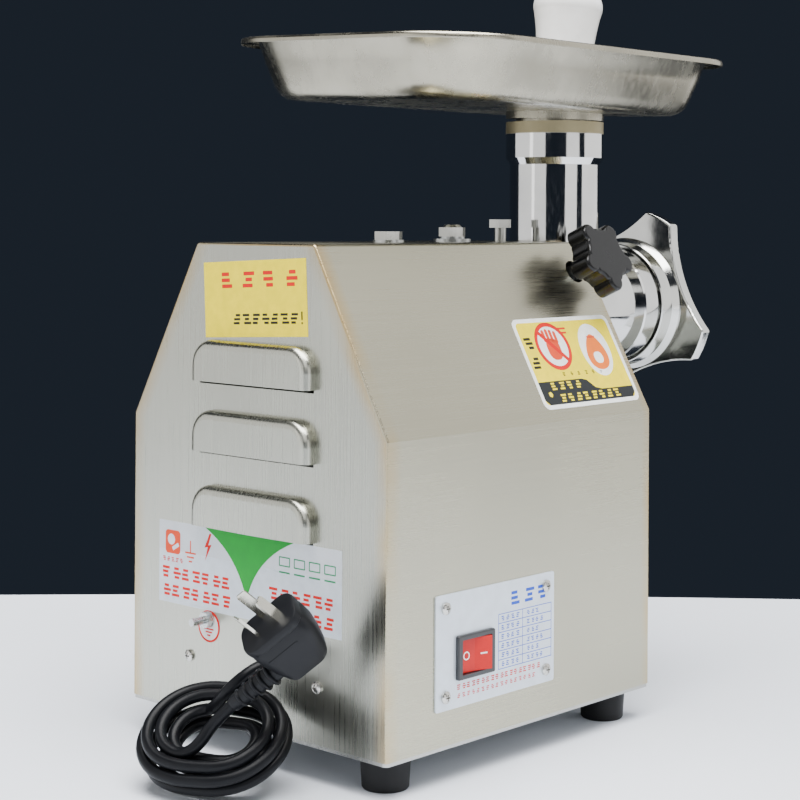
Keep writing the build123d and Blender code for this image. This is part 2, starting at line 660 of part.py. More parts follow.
def make_motor_frame():
    y0, y1 = CASE_BACK + 6, FRONT + 204
    frame = rod(MOTOR_RADIUS, y0, y1, z=MOTOR_Z) - rod(MOTOR_RADIUS - 4, FRONT, BACK, z=MOTOR_Z)
    fin = block(-1.3, 1.3, y0 + 8, y1 - 4, MOTOR_Z + MOTOR_RADIUS - 1, MOTOR_Z + MOTOR_RADIUS + 4)
    for piece in ring_of(fin, [a for a in range(20, 340, 16) if not 128 < a < 232], MOTOR_Z):
        frame += piece
    return frame


def make_motor_end_bell():
    y0 = FRONT + 204
    bell = rod(MOTOR_RADIUS, y0, y0 + 5, z=MOTOR_Z) + rod(27.0, y0, y0 + 14, z=MOTOR_Z)
    bell += rod(MOTOR_RADIUS - 4, y0 - 3, y0, z=MOTOR_Z) - rod(MOTOR_RADIUS - 8, y0 - 5, y0, z=MOTOR_Z)
    bell -= rod(20.0, y0 + 2, y0 + 30, z=MOTOR_Z)
    bell -= rod(12.0, y0 - 5, y0 + 30, z=MOTOR_Z)
    window = rod(8.0, y0 - 1, y0 + 6, x=45, z=MOTOR_Z)
    for piece in ring_of(window, range(0, 360, 45), MOTOR_Z):
        bell -= piece
    return bell


def make_motor_fan():
    y0, y1 = FRONT + 219.5, FRONT + 229.5
    fan = rod(12.0, y0, y1, z=MOTOR_Z) + rod(52.0, y0, y0 + 1.5, z=MOTOR_Z)
    blade = block(-0.9, 0.9, y0, y1, MOTOR_Z + 11, MOTOR_Z + 50)
    for piece in ring_of(blade, range(0, 360, 40), MOTOR_Z):
        fan += piece
    return fan - rod(MOTOR_SHAFT_RADIUS, FRONT, BACK, z=MOTOR_Z)


def make_motor_cradle():
    """Two saddle ribs on a foot plate under the motor."""
    z0 = FOOT_HEIGHT + BASE_SHEET
    cradle = block(-48, 48, FRONT + 118, FRONT + 182, z0, z0 + 3)
    for y in (FRONT + 120, FRONT + 174):
        cradle += block(-48, 48, y, y + 6, z0, MOTOR_Z - 40)
    return cradle - rod(MOTOR_RADIUS, FRONT, BACK, z=MOTOR_Z)


def make_motor_hanger():
    """A bent strap between the motor frame and the housing's top."""
    y = TOP_BOLT_Y[2]
    strap = block(-18, 18, y + 12, y + 15, MOTOR_Z + 60, TOP - SHEET)
    strap += block(-18, 18, y - 12, y + 15, TOP - SHEET - 3, TOP - SHEET)
    strap += block(-18, 18, y - 12, y + 15, MOTOR_Z + 60, MOTOR_Z + MOTOR_RADIUS + 3)
    strap -= rod(MOTOR_RADIUS, FRONT, BACK, z=MOTOR_Z)
    return strap - post(4.05, TOP - 20, TOP, y=y)


def make_run_capacitor():
    y0, z0 = FRONT + 90, FOOT_HEIGHT + BASE_SHEET
    can = rod(17.5, y0, y0 + 70, 86.0, z0 + 18)
    can = fillet(can.edges(), 2.0)
    for x in (80.0, 92.0):
        can += block(x - 0.4, x + 0.4, y0 + 69, y0 + 79, z0 + 15, z0 + 21)
    return can


def make_terminal_block():
    z0 = FOOT_HEIGHT + BASE_SHEET
    body = block(-86, -40, FRONT + 196, FRONT + 214, z0, z0 + 14)
    for k in range(4):
        x = -80.5 + 11.7 * k
        body -= post(3.0, z0 + 8, z0 + 20, x, FRONT + 205)
        body += post(2.2, z0 + 7, z0 + 11, x, FRONT + 205)
    return body


def wire(radius, points, radii):
    """A round wire along straight runs joined by tangent arcs."""
    path = FilletPolyline(*points, radius=radii)
    return sweep(Plane(origin=path @ 0, z_dir=path % 0) * Circle(radius), path=path)


def make_inner_wires():
    z0 = FOOT_HEIGHT + BASE_SHEET
    back = FRONT + 194.5
    flex = [
        (GLAND_X, BACK - SHEET, GLAND_Z), (GLAND_X, BACK - 14, GLAND_Z),
        (-44, BACK - 22, z0 + 33), (-51, BACK - 30, z0 + 17)]
    supply = [
        (-68.8, back, z0 + 9), (-80, back - 4.5, z0 + 9),
        (-81, back - 10.5, z0 + 16), (-72, back - 22.5, z0 + 29)]
    run = [
        (-45.4, back, z0 + 9), (-38, back - 6.5, z0 + 8), (20, back - 7.5, z0 + 9),
        (74, back - 14.5, z0 + 12), (80, back - 24.5, z0 + 18)]
    return [wire(3.0, flex, [6.0, 8.0]), wire(1.3, supply, [6.0, 6.0]), wire(1.3, run, [6.0, 12.0, 6.0])]


# Head lock ----------------------------------------------------------------------------------------


LOCK_TIP = SPIGOT_RADIUS + GAP
PAD_LENGTH = 4.0


def make_lock_pad():
    """The loose brass pad that the screw presses on the head's spigot."""
    end = LOCK_TIP + PAD_LENGTH
    return along_lock(4.2, LOCK_TIP, end) + along_lock(2.0, LOCK_TIP + 1, end + 2.5)


def make_lock_screw():
    start = LOCK_TIP + PAD_LENGTH + 0.05
    screw = along_lock(5.0, start, LOCK_FACE - 6)
    screw -= along_lock(2.0 + FIT, start - 1, start + 3.0)
    return screw


def make_lock_knob():
    """Five rounded lobes with hollow flanks, a hub behind and a washer face."""
    tips = [KNOB_PHASE + 72 * k for k in range(5)]
    n = lock_axis()
    face_plane = Plane(origin=Vector(0, LOCK_Y, OUTPUT_Z) + n * (LOCK_FACE - 15), x_dir=(0, 1, 0), z_dir=n)
    core = Circle(19.0)
    for a in tips:
        x, y = cos(radians(a)), sin(radians(a))
        core += Pos((KNOB_RADIUS - 6.5) * x, (KNOB_RADIUS - 6.5) * y) * Circle(6.5)
    for a in tips:
        x, y = cos(radians(a + 36)), sin(radians(a + 36))
        core -= Pos(26.5 * x, 26.5 * y) * Circle(8.6)
    knob = extrude(face_plane * core, amount=15)
    top = knob.faces().sort_by(Axis(origin=(0, 0, 0), direction=tuple(n)))[-1]
    knob = fillet(top.edges(), 2.2)
    knob += along_lock(9.0, LOCK_FACE - 22, LOCK_FACE - 14.5)
    return knob - along_lock(5.0, LOCK_FACE - 30, LOCK_FACE - 6)


# Grinding head ------------------------------------------------------------------------------------


def make_head_body():
    """Barrel, feed tube and the spigot that plugs into the gearbox's neck, cast in one."""
    z = OUTPUT_Z
    barrel = turned_y([
        (0, HEAD_FRONT), (THREAD_RADIUS, HEAD_FRONT), (THREAD_RADIUS, FRONT - 107),
        (SHOULDER_RADIUS, FRONT - 107),
        (SHOULDER_RADIUS, FRONT - 92.4), (SHOULDER_RADIUS - 1, FRONT - 91.4), (BARREL_RADIUS, FRONT - 91.4),
        (BARREL_RADIUS, FRONT - 14), (NECK_RADIUS, FRONT - 10), (NECK_RADIUS, FRONT - 4.5),
        (SPIGOT_RADIUS, FRONT - 4.5), (SPIGOT_RADIUS, FRONT + 24), (0, FRONT + 24)], z)
    tube = turned_z([
        (0, z), (TUBE_RADIUS, z), (TUBE_RADIUS, FOOT_HEIGHT + 342.3), (COLLAR_RADIUS, FOOT_HEIGHT + 347.0),
        (COLLAR_RADIUS, TUBE_TOP), (0, TUBE_TOP)], y=TUBE_Y)
    head = barrel + tube
    seam = [e for e in head.edges() if z + 5 < e.center().Z < z + 60 and e.length > 40]
    head = fillet(seam, 5.0)
    head -= turned_y([
        (0, HEAD_FRONT - 1), (PLATE_RADIUS + GAP, HEAD_FRONT - 1), (PLATE_RADIUS + GAP, FRONT - 112),
        (BARREL_BORE, FRONT - 112), (BARREL_BORE, FRONT - 8), (0, FRONT - 8)], z)
    head -= post(THROAT_RADIUS, z, TUBE_TOP + 1, y=TUBE_Y)
    head -= rod(13.0, FRONT - 9, FRONT + 30, z=z)
    head += plate_y(Pos(0, z - PLATE_RADIUS) * Circle(2.0), HEAD_FRONT + 0.5, FRONT - 119)
    return head


def make_auger_bush():
    return rod(13.0, FRONT - 8, FRONT + 24, z=OUTPUT_Z) - rod(10.0 + FIT, FRONT - 20, FRONT + 30, z=OUTPUT_Z)


def make_auger_washer():
    return rod(22.0, FRONT - 10, FRONT - 8, z=OUTPUT_Z) - rod(10.5, FRONT - 20, FRONT, z=OUTPUT_Z)


AUGER_FRONT, AUGER_BACK = FRONT - 112.0, FRONT - 10.3
AUGER_PITCH = 38.0


def make_auger():
    """A core with one helical flight, a square drive for the knife and a flat tang at the back."""
    z = OUTPUT_Z
    length = AUGER_BACK - AUGER_FRONT
    lobe = Circle(29.9) & (Circle(13.0) + Polygon((0, 0), (34, -13), (34, 13), align=None))
    turn = 360 * length / AUGER_PITCH
    twisted = Solid.extrude_linear_with_rotation(lobe.face(), (0, 0, 0), (0, 0, length), turn)
    auger = Pos(0, AUGER_BACK, z) * Rot(90, 0, 0) * twisted
    auger += rod(10.0, AUGER_BACK - 1, FRONT + 24.5, z=z)
    tang = Pos(0, z) * RectangleRounded(SOCKET_WIDTH - 2 * GAP, SOCKET_THICK - 2 * GAP, 1.8)
    auger += plate_y(tang, FRONT + 24, FRONT + 42)
    auger += plate_y(Pos(0, z) * Rectangle(11.0, 11.0), AUGER_FRONT - 10.2, AUGER_FRONT + 2)
    return auger + rod(5.5, AUGER_FRONT - 17, AUGER_FRONT - 9, z=z)


def make_knife():
    """Four hooked blades round a square hole."""
    hub = Circle(13.0)
    for k in range(4):
        blade = Polygon((8, -6), (29, -6.5), (31.5, 0), (30, 5.5), (24, 2), (12, 6), align=None)
        hub += Rot(0, 0, 90 * k) * blade
    face = hub - Rectangle(11.2, 11.2)
    return plate_y(Pos(0, OUTPUT_Z) * face, FRONT - 121.9, FRONT - 112.4)


def make_cutting_plate():
    plate = rod(PLATE_RADIUS, FRONT - 130.2, FRONT - 130.2 + PLATE_THICKNESS, z=OUTPUT_Z)
    holes = Sketch() + [Pos(r * cos(2 * pi * k / n), r * sin(2 * pi * k / n)) * Circle(2.3)
                        for r, n in ((12.0, 10), (18.0, 16), (24.0, 22), (29.0, 28)) for k in range(n)]
    plate -= plate_y(Pos(0, OUTPUT_Z) * holes, FRONT - 135, FRONT - 118)
    plate -= rod(5.5 + FIT, FRONT - 140, FRONT - 118, z=OUTPUT_Z)
    return plate - plate_y(Pos(0, OUTPUT_Z - PLATE_RADIUS) * Circle(2.6), FRONT - 140, FRONT - 118)


def lobed_outline():
    """Four flat-ended lobes joined by hollow arcs, drawn in X and Z."""
    edges = []
    for k in range(4):
        centre = FIRST_LOBE_ANGLE + 90 * k
        corners = [centre - LOBE_HALF_ANGLE, centre + LOBE_HALF_ANGLE, centre + 90 - LOBE_HALF_ANGLE]
        a, b, c = [(LOBE_RADIUS * cos(radians(t)), LOBE_RADIUS * sin(radians(t))) for t in corners]
        tip = (LOBE_RADIUS * cos(radians(centre)), LOBE_RADIUS * sin(radians(centre)))
        waist = (WAIST_RADIUS * cos(radians(centre + 45)), WAIST_RADIUS * sin(radians(centre + 45)))
        edges += [ThreePointArc(a, tip, b), ThreePointArc(b, waist, c)]
    return make_face(edges)


def make_ring_nut():
    z = OUTPUT_Z
    flange = plate_y(Pos(0, z) * fillet(lobed_outline().vertices(), 3.0), RING_FRONT, RING_FRONT + 11)
    flange = fillet(flange.faces().sort_by(Axis.Y)[0].edges(), 3.0)
    flange = fillet(flange.faces().sort_by(Axis.Y)[-1].edges(), 1.5)
    sleeve = turned_y([
        (0, RING_FRONT + 5), (48.5, RING_FRONT + 5), (48.5, RING_FRONT + 12), (45.5, RING_FRONT + 17),
        (44.2, RING_BACK - 1), (43.7, RING_BACK), (0, RING_BACK)], z)
    nut = flange + sleeve
    nut -= turned_y([
        (0, RING_FRONT + LIP), (THREAD_RADIUS + GAP, RING_FRONT + LIP), (THREAD_RADIUS + GAP, RING_BACK + 1),
        (0, RING_BACK + 1)], z)
    return nut - turned_y([
        (0, RING_FRONT - 1), (OUTLET_RADIUS + 2.5, RING_FRONT - 1), (OUTLET_RADIUS, RING_FRONT + 1.2),
        (OUTLET_RADIUS, RING_FRONT + LIP + 1), (0, RING_FRONT + LIP + 1)], z)


# Feed pan and pusher ------------------------------------------------------------------------------


def tilted(shape):
    """Turns a piece of the pan about the feed tube's axis at the height of the collar."""
    pivot = Pos(0, TUBE_Y, TUBE_TOP)
    return pivot * Rot(0, -PAN_TILT, 0) * pivot.inverse() * shape


def pan_form(grow, z0, z1):
    """The pan's tapering inside, grown by a thickness, between two heights."""
    low = Plane.XY.offset(z0) * Pos(0, PAN_CENTRE_Y) * RectangleRounded(
        FLOOR_WIDTH + 2 * grow, FLOOR_LENGTH + 2 * grow, FLOOR_CORNER + grow)
    high = Plane.XY.offset(z1) * Pos(0, PAN_CENTRE_Y) * RectangleRounded(
        PAN_WIDTH - 2 * RIM_WIDTH + 2 * grow, PAN_LENGTH - 2 * RIM_WIDTH + 2 * grow,
        PAN_CORNER - RIM_WIDTH + grow)
    return loft([low.face(), high.face()], ruled=True)


def make_feed_pan():
    """A shallow tray with a wide rim whose edge is turned down."""
    outer = pan_form(PAN_SHEET, PAN_BOTTOM, PAN_RIM)
    outer = fillet(outer.faces().sort_by(Axis.Z)[0].edges(), 9.0)
    inner = pan_form(0, PAN_BOTTOM + PAN_SHEET, PAN_RIM + 0.01)
    inner = fillet(inner.faces().sort_by(Axis.Z)[0].edges(), 8.0)
    rim_outline = Pos(0, PAN_CENTRE_Y) * RectangleRounded(PAN_WIDTH, PAN_LENGTH, PAN_CORNER)
    rim = extrude(Plane.XY.offset(PAN_RIM - PAN_SHEET) * rim_outline, amount=PAN_SHEET)
    lip_inside = Pos(0, PAN_CENTRE_Y) * RectangleRounded(PAN_WIDTH - 3, PAN_LENGTH - 3, PAN_CORNER - 1.5)
    lip = extrude(Plane.XY.offset(PAN_RIM - 4.0) * (rim_outline - lip_inside), amount=4.0)
    pan = outer + rim + lip - inner
    pan -= post(SPOUT_RADIUS - PAN_SHEET, PAN_BOTTOM - 5, PAN_BOTTOM + 5, y=TUBE_Y)
    return tilted(pan)


def make_pan_spout():
    """The sleeve that stands in the feed tube, with the ring that rests on the collar."""
    inside = SPOUT_RADIUS - PAN_SHEET
    return tilted(turned_z([
        (inside, TUBE_TOP - 24), (SPOUT_RADIUS, TUBE_TOP - 24), (SPOUT_RADIUS, TUBE_TOP + 2.0),
        (COLLAR_RADIUS, TUBE_TOP + 2.0), (COLLAR_RADIUS, PAN_BOTTOM), (inside, PAN_BOTTOM)], y=TUBE_Y))


def pusher_place():
    """The pusher's own axis: through a point in the tube, leaning forwards."""
    return Pos(0, TUBE_Y, FOOT_HEIGHT + 332.0) * Rot(PUSHER_LEAN, 0, 0)


def make_pusher():
    """A plastic stomper, narrow below, with a round knob on top."""
    shaft = Polyline((0, -52), (17.5, -52), (19.0, -50), (19.0, 40), (20.2, 86))
    neck = ThreePointArc((20.2, 86), (21.3, 104), (24.0, 120))
    edge = ThreePointArc((24.0, 120), (24.4, 127), (22.0, 132.3))
    dome_radius, dome_centre, flat = 28.0, 115.0, 2.0

    def dome_point(r):
        return (r, dome_centre + sqrt(dome_radius**2 - r**2))

    dome = ThreePointArc(edge @ 1, dome_point(11.0), dome_point(flat))
    top = dome_point(flat)[1]
    outline = Curve([shaft, neck, edge, dome, Polyline((flat, top), (0, top), (0, -52))])
    face = make_face(Plane.XZ * outline)
    return pusher_place() * revolve(face, Axis.Z)


# Cord and plug ------------------------------------------------------------------------------------


CORD_LEAD = (  # from the gland, out, down and into the hank
    (GLAND_X, BACK + 11.0, GLAND_Z),
    (GLAND_X, BACK + 23.0, GLAND_Z),
    (-33.3, BACK + 34.5, GLAND_Z - 4.8),
    (-26.7, BACK + 41.8, GLAND_Z - 13.3),
    (-18.2, BACK + 43.3, GLAND_Z - 24.3),
    (-9.8, BACK + 40.8, GLAND_Z - 35.0),
)


def hank_plane():
    """The hank's middle plane, leaning up towards the housing."""
    a, t = radians(HANK_DIRECTION), radians(HANK_SLOPE)
    along = Vector(cos(a), sin(a), 0)
    level = Vector(-sin(a), cos(a), 0)
    level = level if level.Y < 0 else -level
    up = level * cos(t) + Vector(0, 0, 1) * sin(t)
    return Plane(origin=HANK_CENTRE, x_dir=along, z_dir=along.cross(up))


def plug_plane():
    return Plane(origin=PLUG_FACE, x_dir=PLUG_LONG_DIRECTION, z_dir=PLUG_PINS_DIRECTION)


def plug_point(long, wide, out):
    return tuple(plug_plane().from_local_coords((long, wide, out)))


def cord_tail():
    """From the plug's strain relief down into the hank."""
    start = Vector(plug_point(-PLUG_LENGTH / 2 - RELIEF_LENGTH, 0, -29))
    middle = Vector(plug_point(-PLUG_LENGTH / 2 - RELIEF_LENGTH - 15, 0, -30))
    end = hank_plane().from_local_coords((-10.0, -HANK_BEND + 2, 6.0))
    return tuple(tuple(p) for p in (start, middle, end))


def corner_radii(points):
    """Each corner's radius: as large as its two runs allow."""
    radii = []
    for a, b, c in zip(points, points[1:], points[2:]):
        first, second = Vector(b) - Vector(a), Vector(c) - Vector(b)
        half_turn = radians(first.get_angle(second)) / 2
        radii.append(0.45 * min(first.length, second.length) / tan(half_turn))
    return radii


def cord_tube(points):
    radii = corner_radii(points)
    print("cord bend radii, mm:", [round(r, 1) for r in radii])
    return wire(CORD_DIAMETER / 2, points, radii)


def make_cord_hank():
    """The outer shape of the loose turns: a thick leaning ring."""
    plane = hank_plane()
    path = plane * SlotOverall(2 * (HANK_STRAIGHT + HANK_BEND), 2 * HANK_BEND)
    wire_path = path.face().outer_wire()
    section = Plane(origin=wire_path @ 0, z_dir=wire_path % 0) * Circle(HANK_THICK)
    return sweep(section, path=wire_path)


def make_cord_gland():
    body = rod(9.0, BACK, BACK + 4, GLAND_X, GLAND_Z) + rod(6.0, BACK - 5, BACK, GLAND_X, GLAND_Z)
    body += turned_y([(0, BACK + 4), (7.5, BACK + 4), (5.5, BACK + 11), (0, BACK + 11)], GLAND_Z, GLAND_X)
    return body - rod(3.1, BACK - 10, BACK + 0, GLAND_X, GLAND_Z)


def make_plug_body():
    """A side-entry plug: oval face, tapered back with grip ribs, ribbed strain relief."""
    plane = plug_plane()
    face = plane * RectangleRounded(PLUG_LENGTH, PLUG_WIDTH, 9.0)
    back = plane.offset(-PLUG_DEPTH) * Pos(-2, 0) * RectangleRounded(PLUG_LENGTH - 12, PLUG_WIDTH - 9, 6.0)
    waist = plane.offset(-16) * RectangleRounded(PLUG_LENGTH, PLUG_WIDTH - 1, 9.0)
    body = loft([face.face(), waist.face()], ruled=True) + loft([waist.face(), back.face()], ruled=True)
    exit_plane = Plane(origin=plug_point(-PLUG_LENGTH / 2 + 8, 0, -29), z_dir=-plane.x_dir)
    relief = extrude(exit_plane * Circle(5.2), amount=8 + RELIEF_LENGTH)
    for k in range(5):
        rib = exit_plane.offset(11 + 5.6 * k) * Circle(7.4 - 0.45 * k)
        relief += extrude(rib, amount=2.6)
    return body + relief


def make_plug_pins():
    """Two slanted blades and an upright earth blade."""
    plane = plug_plane()
    pins = []
    for x, y, turn, length in ((-7.9, -3.0, 30, 18.0), (7.9, -3.0, -30, 18.0), (0, 7.5, 90, 21.0)):
        blade = plane * Pos(x, y) * Rot(0, 0, turn + 90) * Rectangle(6.3, 1.6)
        pins.append(extrude(blade, amount=length))
    return pins


# Assembly -----------------------------------------------------------------------------------------


def main():
    save("housing_shell", make_housing_shell())
    save("front_panel", make_front_panel())
    save("rear_panel", make_rear_panel())
    save("base_plate", make_base_plate())
    save("rubber_feet", *make_feet())
    save("foot_screws", *make_foot_screws())
    save("foot_nuts", *make_foot_nuts())
    save("panel_screws", *make_panel_screws())
    save("top_bolts", *make_top_bolts())
    save("top_washers", *make_top_washers())
    save("control_plate", make_control_plate())
    save("switch_housing", make_switch_housing())
    save("switch_rocker", make_switch_rocker())
    save("warning_label", make_warning_label())
    save("rear_label", make_rear_label())
    save("wiring_label", make_wiring_label())
    save("earth_label", make_earth_label())
    save("earth_stud", make_earth_stud())
    save("earth_nuts", *make_earth_nuts())
    save("gearbox_case", make_gearbox_case())
    save("bearing_plate", make_bearing_plate())
    save("gearbox_cover", make_gearbox_cover())
    save("gearbox_screws", *make_gearbox_screws())
    save("front_bolts", *make_front_bolts())
    save("ball_bearings", *make_bearings())
    save("oil_seal", make_oil_seal())
    save("output_shaft", make_output_shaft())
    save("output_gear", make_output_gear())
    save("intermediate_shaft", make_intermediate_shaft())
    save("intermediate_gear", make_intermediate_gear())
    save("motor_pinion", make_motor_pinion())
    save("motor_shaft", make_motor_shaft())
    save("rotor_core", make_rotor_core())
    save("stator_core", make_stator_core())
    save("stator_windings", *make_stator_windings())
    save("motor_frame", make_motor_frame())
    save("motor_end_bell", make_motor_end_bell())
    save("motor_fan", make_motor_fan())
    save("motor_cradle", make_motor_cradle())
    save("motor_hanger", make_motor_hanger())
    save("run_capacitor", make_run_capacitor())
    save("terminal_block", make_terminal_block())
    save("inner_wires", *make_inner_wires())
    save("lock_pad", make_lock_pad())
    save("lock_screw", make_lock_screw())
    save("lock_knob", make_lock_knob())
    save("head_body", make_head_body())
    save("auger_bush", make_auger_bush())
    save("auger_washer", make_auger_washer())
    save("auger", make_auger())
    save("knife", make_knife())
    save("cutting_plate", make_cutting_plate())
    save("ring_nut", make_ring_nut())
    save("feed_pan", make_feed_pan())
    save("pan_spout", make_pan_spout())
    save("pusher", make_pusher())
    save("cord_gland", make_cord_gland())
    save("cord_tube", cord_tube(CORD_LEAD), cord_tube(cord_tail()))
    save("cord_hank", make_cord_hank())
    save("plug", make_plug_body(), *make_plug_pins())


if __name__ == "__main__":
    main()
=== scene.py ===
"""Looks of an electric meat grinder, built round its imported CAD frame."""

import math

import bmesh
import bpy
from bpy.props import FloatProperty, FloatVectorProperty, IntProperty, PointerProperty
from mathutils import Matrix, Vector


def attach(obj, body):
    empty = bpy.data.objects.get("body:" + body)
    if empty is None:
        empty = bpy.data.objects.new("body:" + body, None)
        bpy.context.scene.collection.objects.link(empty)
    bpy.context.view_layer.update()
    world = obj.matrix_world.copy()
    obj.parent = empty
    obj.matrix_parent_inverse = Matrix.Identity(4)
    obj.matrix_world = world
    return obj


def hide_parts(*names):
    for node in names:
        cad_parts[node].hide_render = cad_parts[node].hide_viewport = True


bl_info = {
    "name": "Meat Grinder",
    "version": (1, 0, 0),
    "blender": (4, 5, 0),
    "location": "View3D > Sidebar > Grinder",
    "description": "Builds the finishes, labels, pan, cord and stage of an electric meat grinder",
    "category": "Object",
}

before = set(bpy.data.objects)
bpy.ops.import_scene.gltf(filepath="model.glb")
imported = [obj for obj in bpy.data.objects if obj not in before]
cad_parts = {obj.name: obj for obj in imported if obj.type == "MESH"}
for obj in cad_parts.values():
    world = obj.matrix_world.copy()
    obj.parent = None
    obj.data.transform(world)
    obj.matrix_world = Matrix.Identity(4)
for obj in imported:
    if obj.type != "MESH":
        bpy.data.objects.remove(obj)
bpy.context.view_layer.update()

MM = 0.001
FRONT = -62.6
BACK = 186.9
SIDE = -110.0
TUBE_Y = -101.3
TUBE_TOP = 392.3
CONTROL_Y, CONTROL_Z = 93.1, 75.8
ROCKER_Y, ROCKER_Z = 113.4, 71.0
ROCKER_PIVOT = SIDE + 1.5
ROCKER_TILT = math.radians(10.0)
ROCKER_HALF, ROCKER_RIDGE = 12.4, 3.2
HANK_CENTRE = Vector((-20.0, 233.4, 28.0))
HANK_ALONG = Vector((-0.92718, -0.37461, 0.0))
HANK_UP = Vector((0.31768, -0.78629, 0.52992))
PLUG_CENTRE = Vector((-70.6, 240.4, 103.0))
PLUG_OUT = Vector((0.129, 0.774, 0.620)).normalized()
PLUG_LONG = Vector((-0.656, -0.407, 0.643)).normalized()


# Colours and finishes ---------------------------------------------------------------------------


def shade(red, green, blue):
    """A display colour, 0 to 255 each, as the linear colour a shader takes."""
    values = []
    for part in (red, green, blue):
        part = part / 255
        values.append(part / 12.92 if part <= 0.04045 else ((part + 0.055) / 1.055) ** 2.4)
    return tuple(values)


def scaled(colour, factor):
    return tuple(min(1.0, part * factor) for part in colour)


class Finish:
    """Writes one procedural material round its shader."""

    def __init__(self, name, colour, metallic=0.0, roughness=0.5):
        self.material = bpy.data.materials.new(name)
        self.material.use_nodes = True
        self.tree = self.material.node_tree
        self.shader = self.tree.nodes["Principled BSDF"]
        self.set("Base Color", (*colour, 1.0))
        self.set("Metallic", metallic)
        self.set("Roughness", roughness)
        self.place = self.add("ShaderNodeTexCoord").outputs["Object"]

    def set(self, socket, value):
        self.shader.inputs[socket].default_value = value

    def add(self, kind, **settings):
        node = self.tree.nodes.new(kind)
        for key, value in settings.items():
            setattr(node, key, value)
        return node

    def join(self, source, target):
        self.tree.links.new(source, target)

    def feed(self, source, socket):
        self.join(source, self.shader.inputs[socket])

    def noise(self, per_metre, detail=3.0, roughness=0.5):
        """Noise with so many cells per metre along each axis."""
        mapping = self.add("ShaderNodeMapping")
        mapping.inputs["Scale"].default_value = per_metre
        self.join(self.place, mapping.inputs["Vector"])
        node = self.add("ShaderNodeTexNoise")
        node.inputs["Scale"].default_value = 1.0
        node.inputs["Detail"].default_value = detail
        node.inputs["Roughness"].default_value = roughness
        self.join(mapping.outputs["Vector"], node.inputs["Vector"])
        return node.outputs["Fac"]

    def spread(self, value, low, high, start=0.0, end=1.0):
        node = self.add("ShaderNodeMapRange")
        for socket, number in zip(("From Min", "From Max", "To Min", "To Max"), (low, high, start, end)):
            node.inputs[socket].default_value = number
        self.join(value, node.inputs["Value"])
        return node.outputs["Result"]

    def work(self, operation, first, second):
        node = self.add("ShaderNodeMath", operation=operation, use_clamp=False)
        for socket, value in zip(node.inputs, (first, second)):
            if isinstance(value, (int, float)):
                socket.default_value = value
            else:
                self.join(value, socket)
        return node.outputs["Value"]

    def mixed(self, factor, first, second):
        """A colour between two, each a plain colour or a socket."""
        node = self.add("ShaderNodeMix", data_type="RGBA")
        self.join(factor, node.inputs[0])
        for socket, value in ((node.inputs[6], first), (node.inputs[7], second)):
            if isinstance(value, bpy.types.NodeSocket):
                self.join(value, socket)
            else:
                socket.default_value = (*value, 1.0)
        return node.outputs[2]

    def axis(self, name):
        node = self.add("ShaderNodeSeparateXYZ")
        self.join(self.place, node.inputs["Vector"])
        return node.outputs[name]

    def relief(self, height, strength, depth_mm):
        node = self.add("ShaderNodeBump")
        node.inputs["Strength"].default_value = strength
        node.inputs["Distance"].default_value = depth_mm * MM
        self.join(height, node.inputs["Height"])
        self.feed(node.outputs["Normal"], "Normal")


def brushed_steel(name, colour, grain, tint_edges=None, shadow=None):
    """Stainless sheet: long fine grain, soft clouds, a straw tint where it was welded and, where asked for, a
    painted shade.
    """
    steel = Finish(name, colour, metallic=1.0, roughness=0.3)
    fine = steel.noise(grain, detail=4.0, roughness=0.65)
    cloud = steel.noise((7.0, 7.0, 7.0), detail=2.0)
    base = steel.mixed(steel.spread(cloud, 0.3, 0.7), scaled(colour, 0.84), scaled(colour, 1.04))
    if shadow:
        # painted shade: the shadow mask darkens the base colour to about half
        base = steel.mixed(shadow(steel), base, scaled(colour, 0.52))
    streaks = steel.mixed(steel.spread(fine, 0.25, 0.75), scaled(colour, 0.84), colour)
    both = steel.add("ShaderNodeMix", data_type="RGBA")
    both.inputs[0].default_value = 0.45
    steel.join(base, both.inputs[6])
    steel.join(streaks, both.inputs[7])
    result = both.outputs[2]
    if tint_edges:
        result = steel.mixed(tint_edges(steel), result, STRAW)
    steel.feed(result, "Base Color")
    hair = steel.spread(fine, 0.2, 0.8, -0.05, 0.07)
    rough = steel.work("ADD", hair, steel.spread(cloud, 0.3, 0.7, 0.2, 0.3))
    steel.feed(rough, "Roughness")
    steel.relief(fine, 0.12, 0.12)
    return steel.material


def shell_tint(steel):
    """Straw colour along the shell's welded ends, broken up by noise."""
    along = steel.axis("Y")
    back_end = steel.spread(along, 0.176, 0.187)
    front_end = steel.spread(along, -0.054, -0.0626)
    patches = steel.spread(steel.noise((18.0, 18.0, 18.0)), 0.35, 0.7, 0.1, 0.7)
    return steel.work("MULTIPLY", steel.work("MAXIMUM", back_end, front_end), patches)


def panel_tint(steel):
    """Straw colour along the upright and sloping edges of an end panel."""
    across = steel.work("ABSOLUTE", steel.axis("X"), 0.0)
    sides = steel.spread(across, 0.099, 0.110)
    height = steel.work("MULTIPLY", steel.axis("Z"), 0.477)
    slope = steel.work("ADD", steel.work("MULTIPLY", across, 0.879), height)
    slopes = steel.spread(slope, 0.181, 0.1925)
    patches = steel.spread(steel.noise((16.0, 16.0, 16.0)), 0.3, 0.7, 0.1, 0.75)
    return steel.work("MULTIPLY", steel.work("MAXIMUM", sides, slopes), patches)


def panel_shadow(steel):
    """Painted shade: a soft darker area low on the switch side of an end panel."""
    across = steel.spread(steel.axis("X"), 0.03, -0.08)
    low = steel.spread(steel.axis("Z"), 0.27, 0.12)
    patches = steel.spread(steel.noise((9.0, 9.0, 9.0), detail=2.0), 0.3, 0.7, 0.7, 1.0)
    return steel.work("MULTIPLY", steel.work("MULTIPLY", across, low), patches)


def collar_band(metal):
    """The matt ring round the top of the feed tube's collar."""
    return metal.spread(metal.axis("Z"), 0.3836, 0.3843)


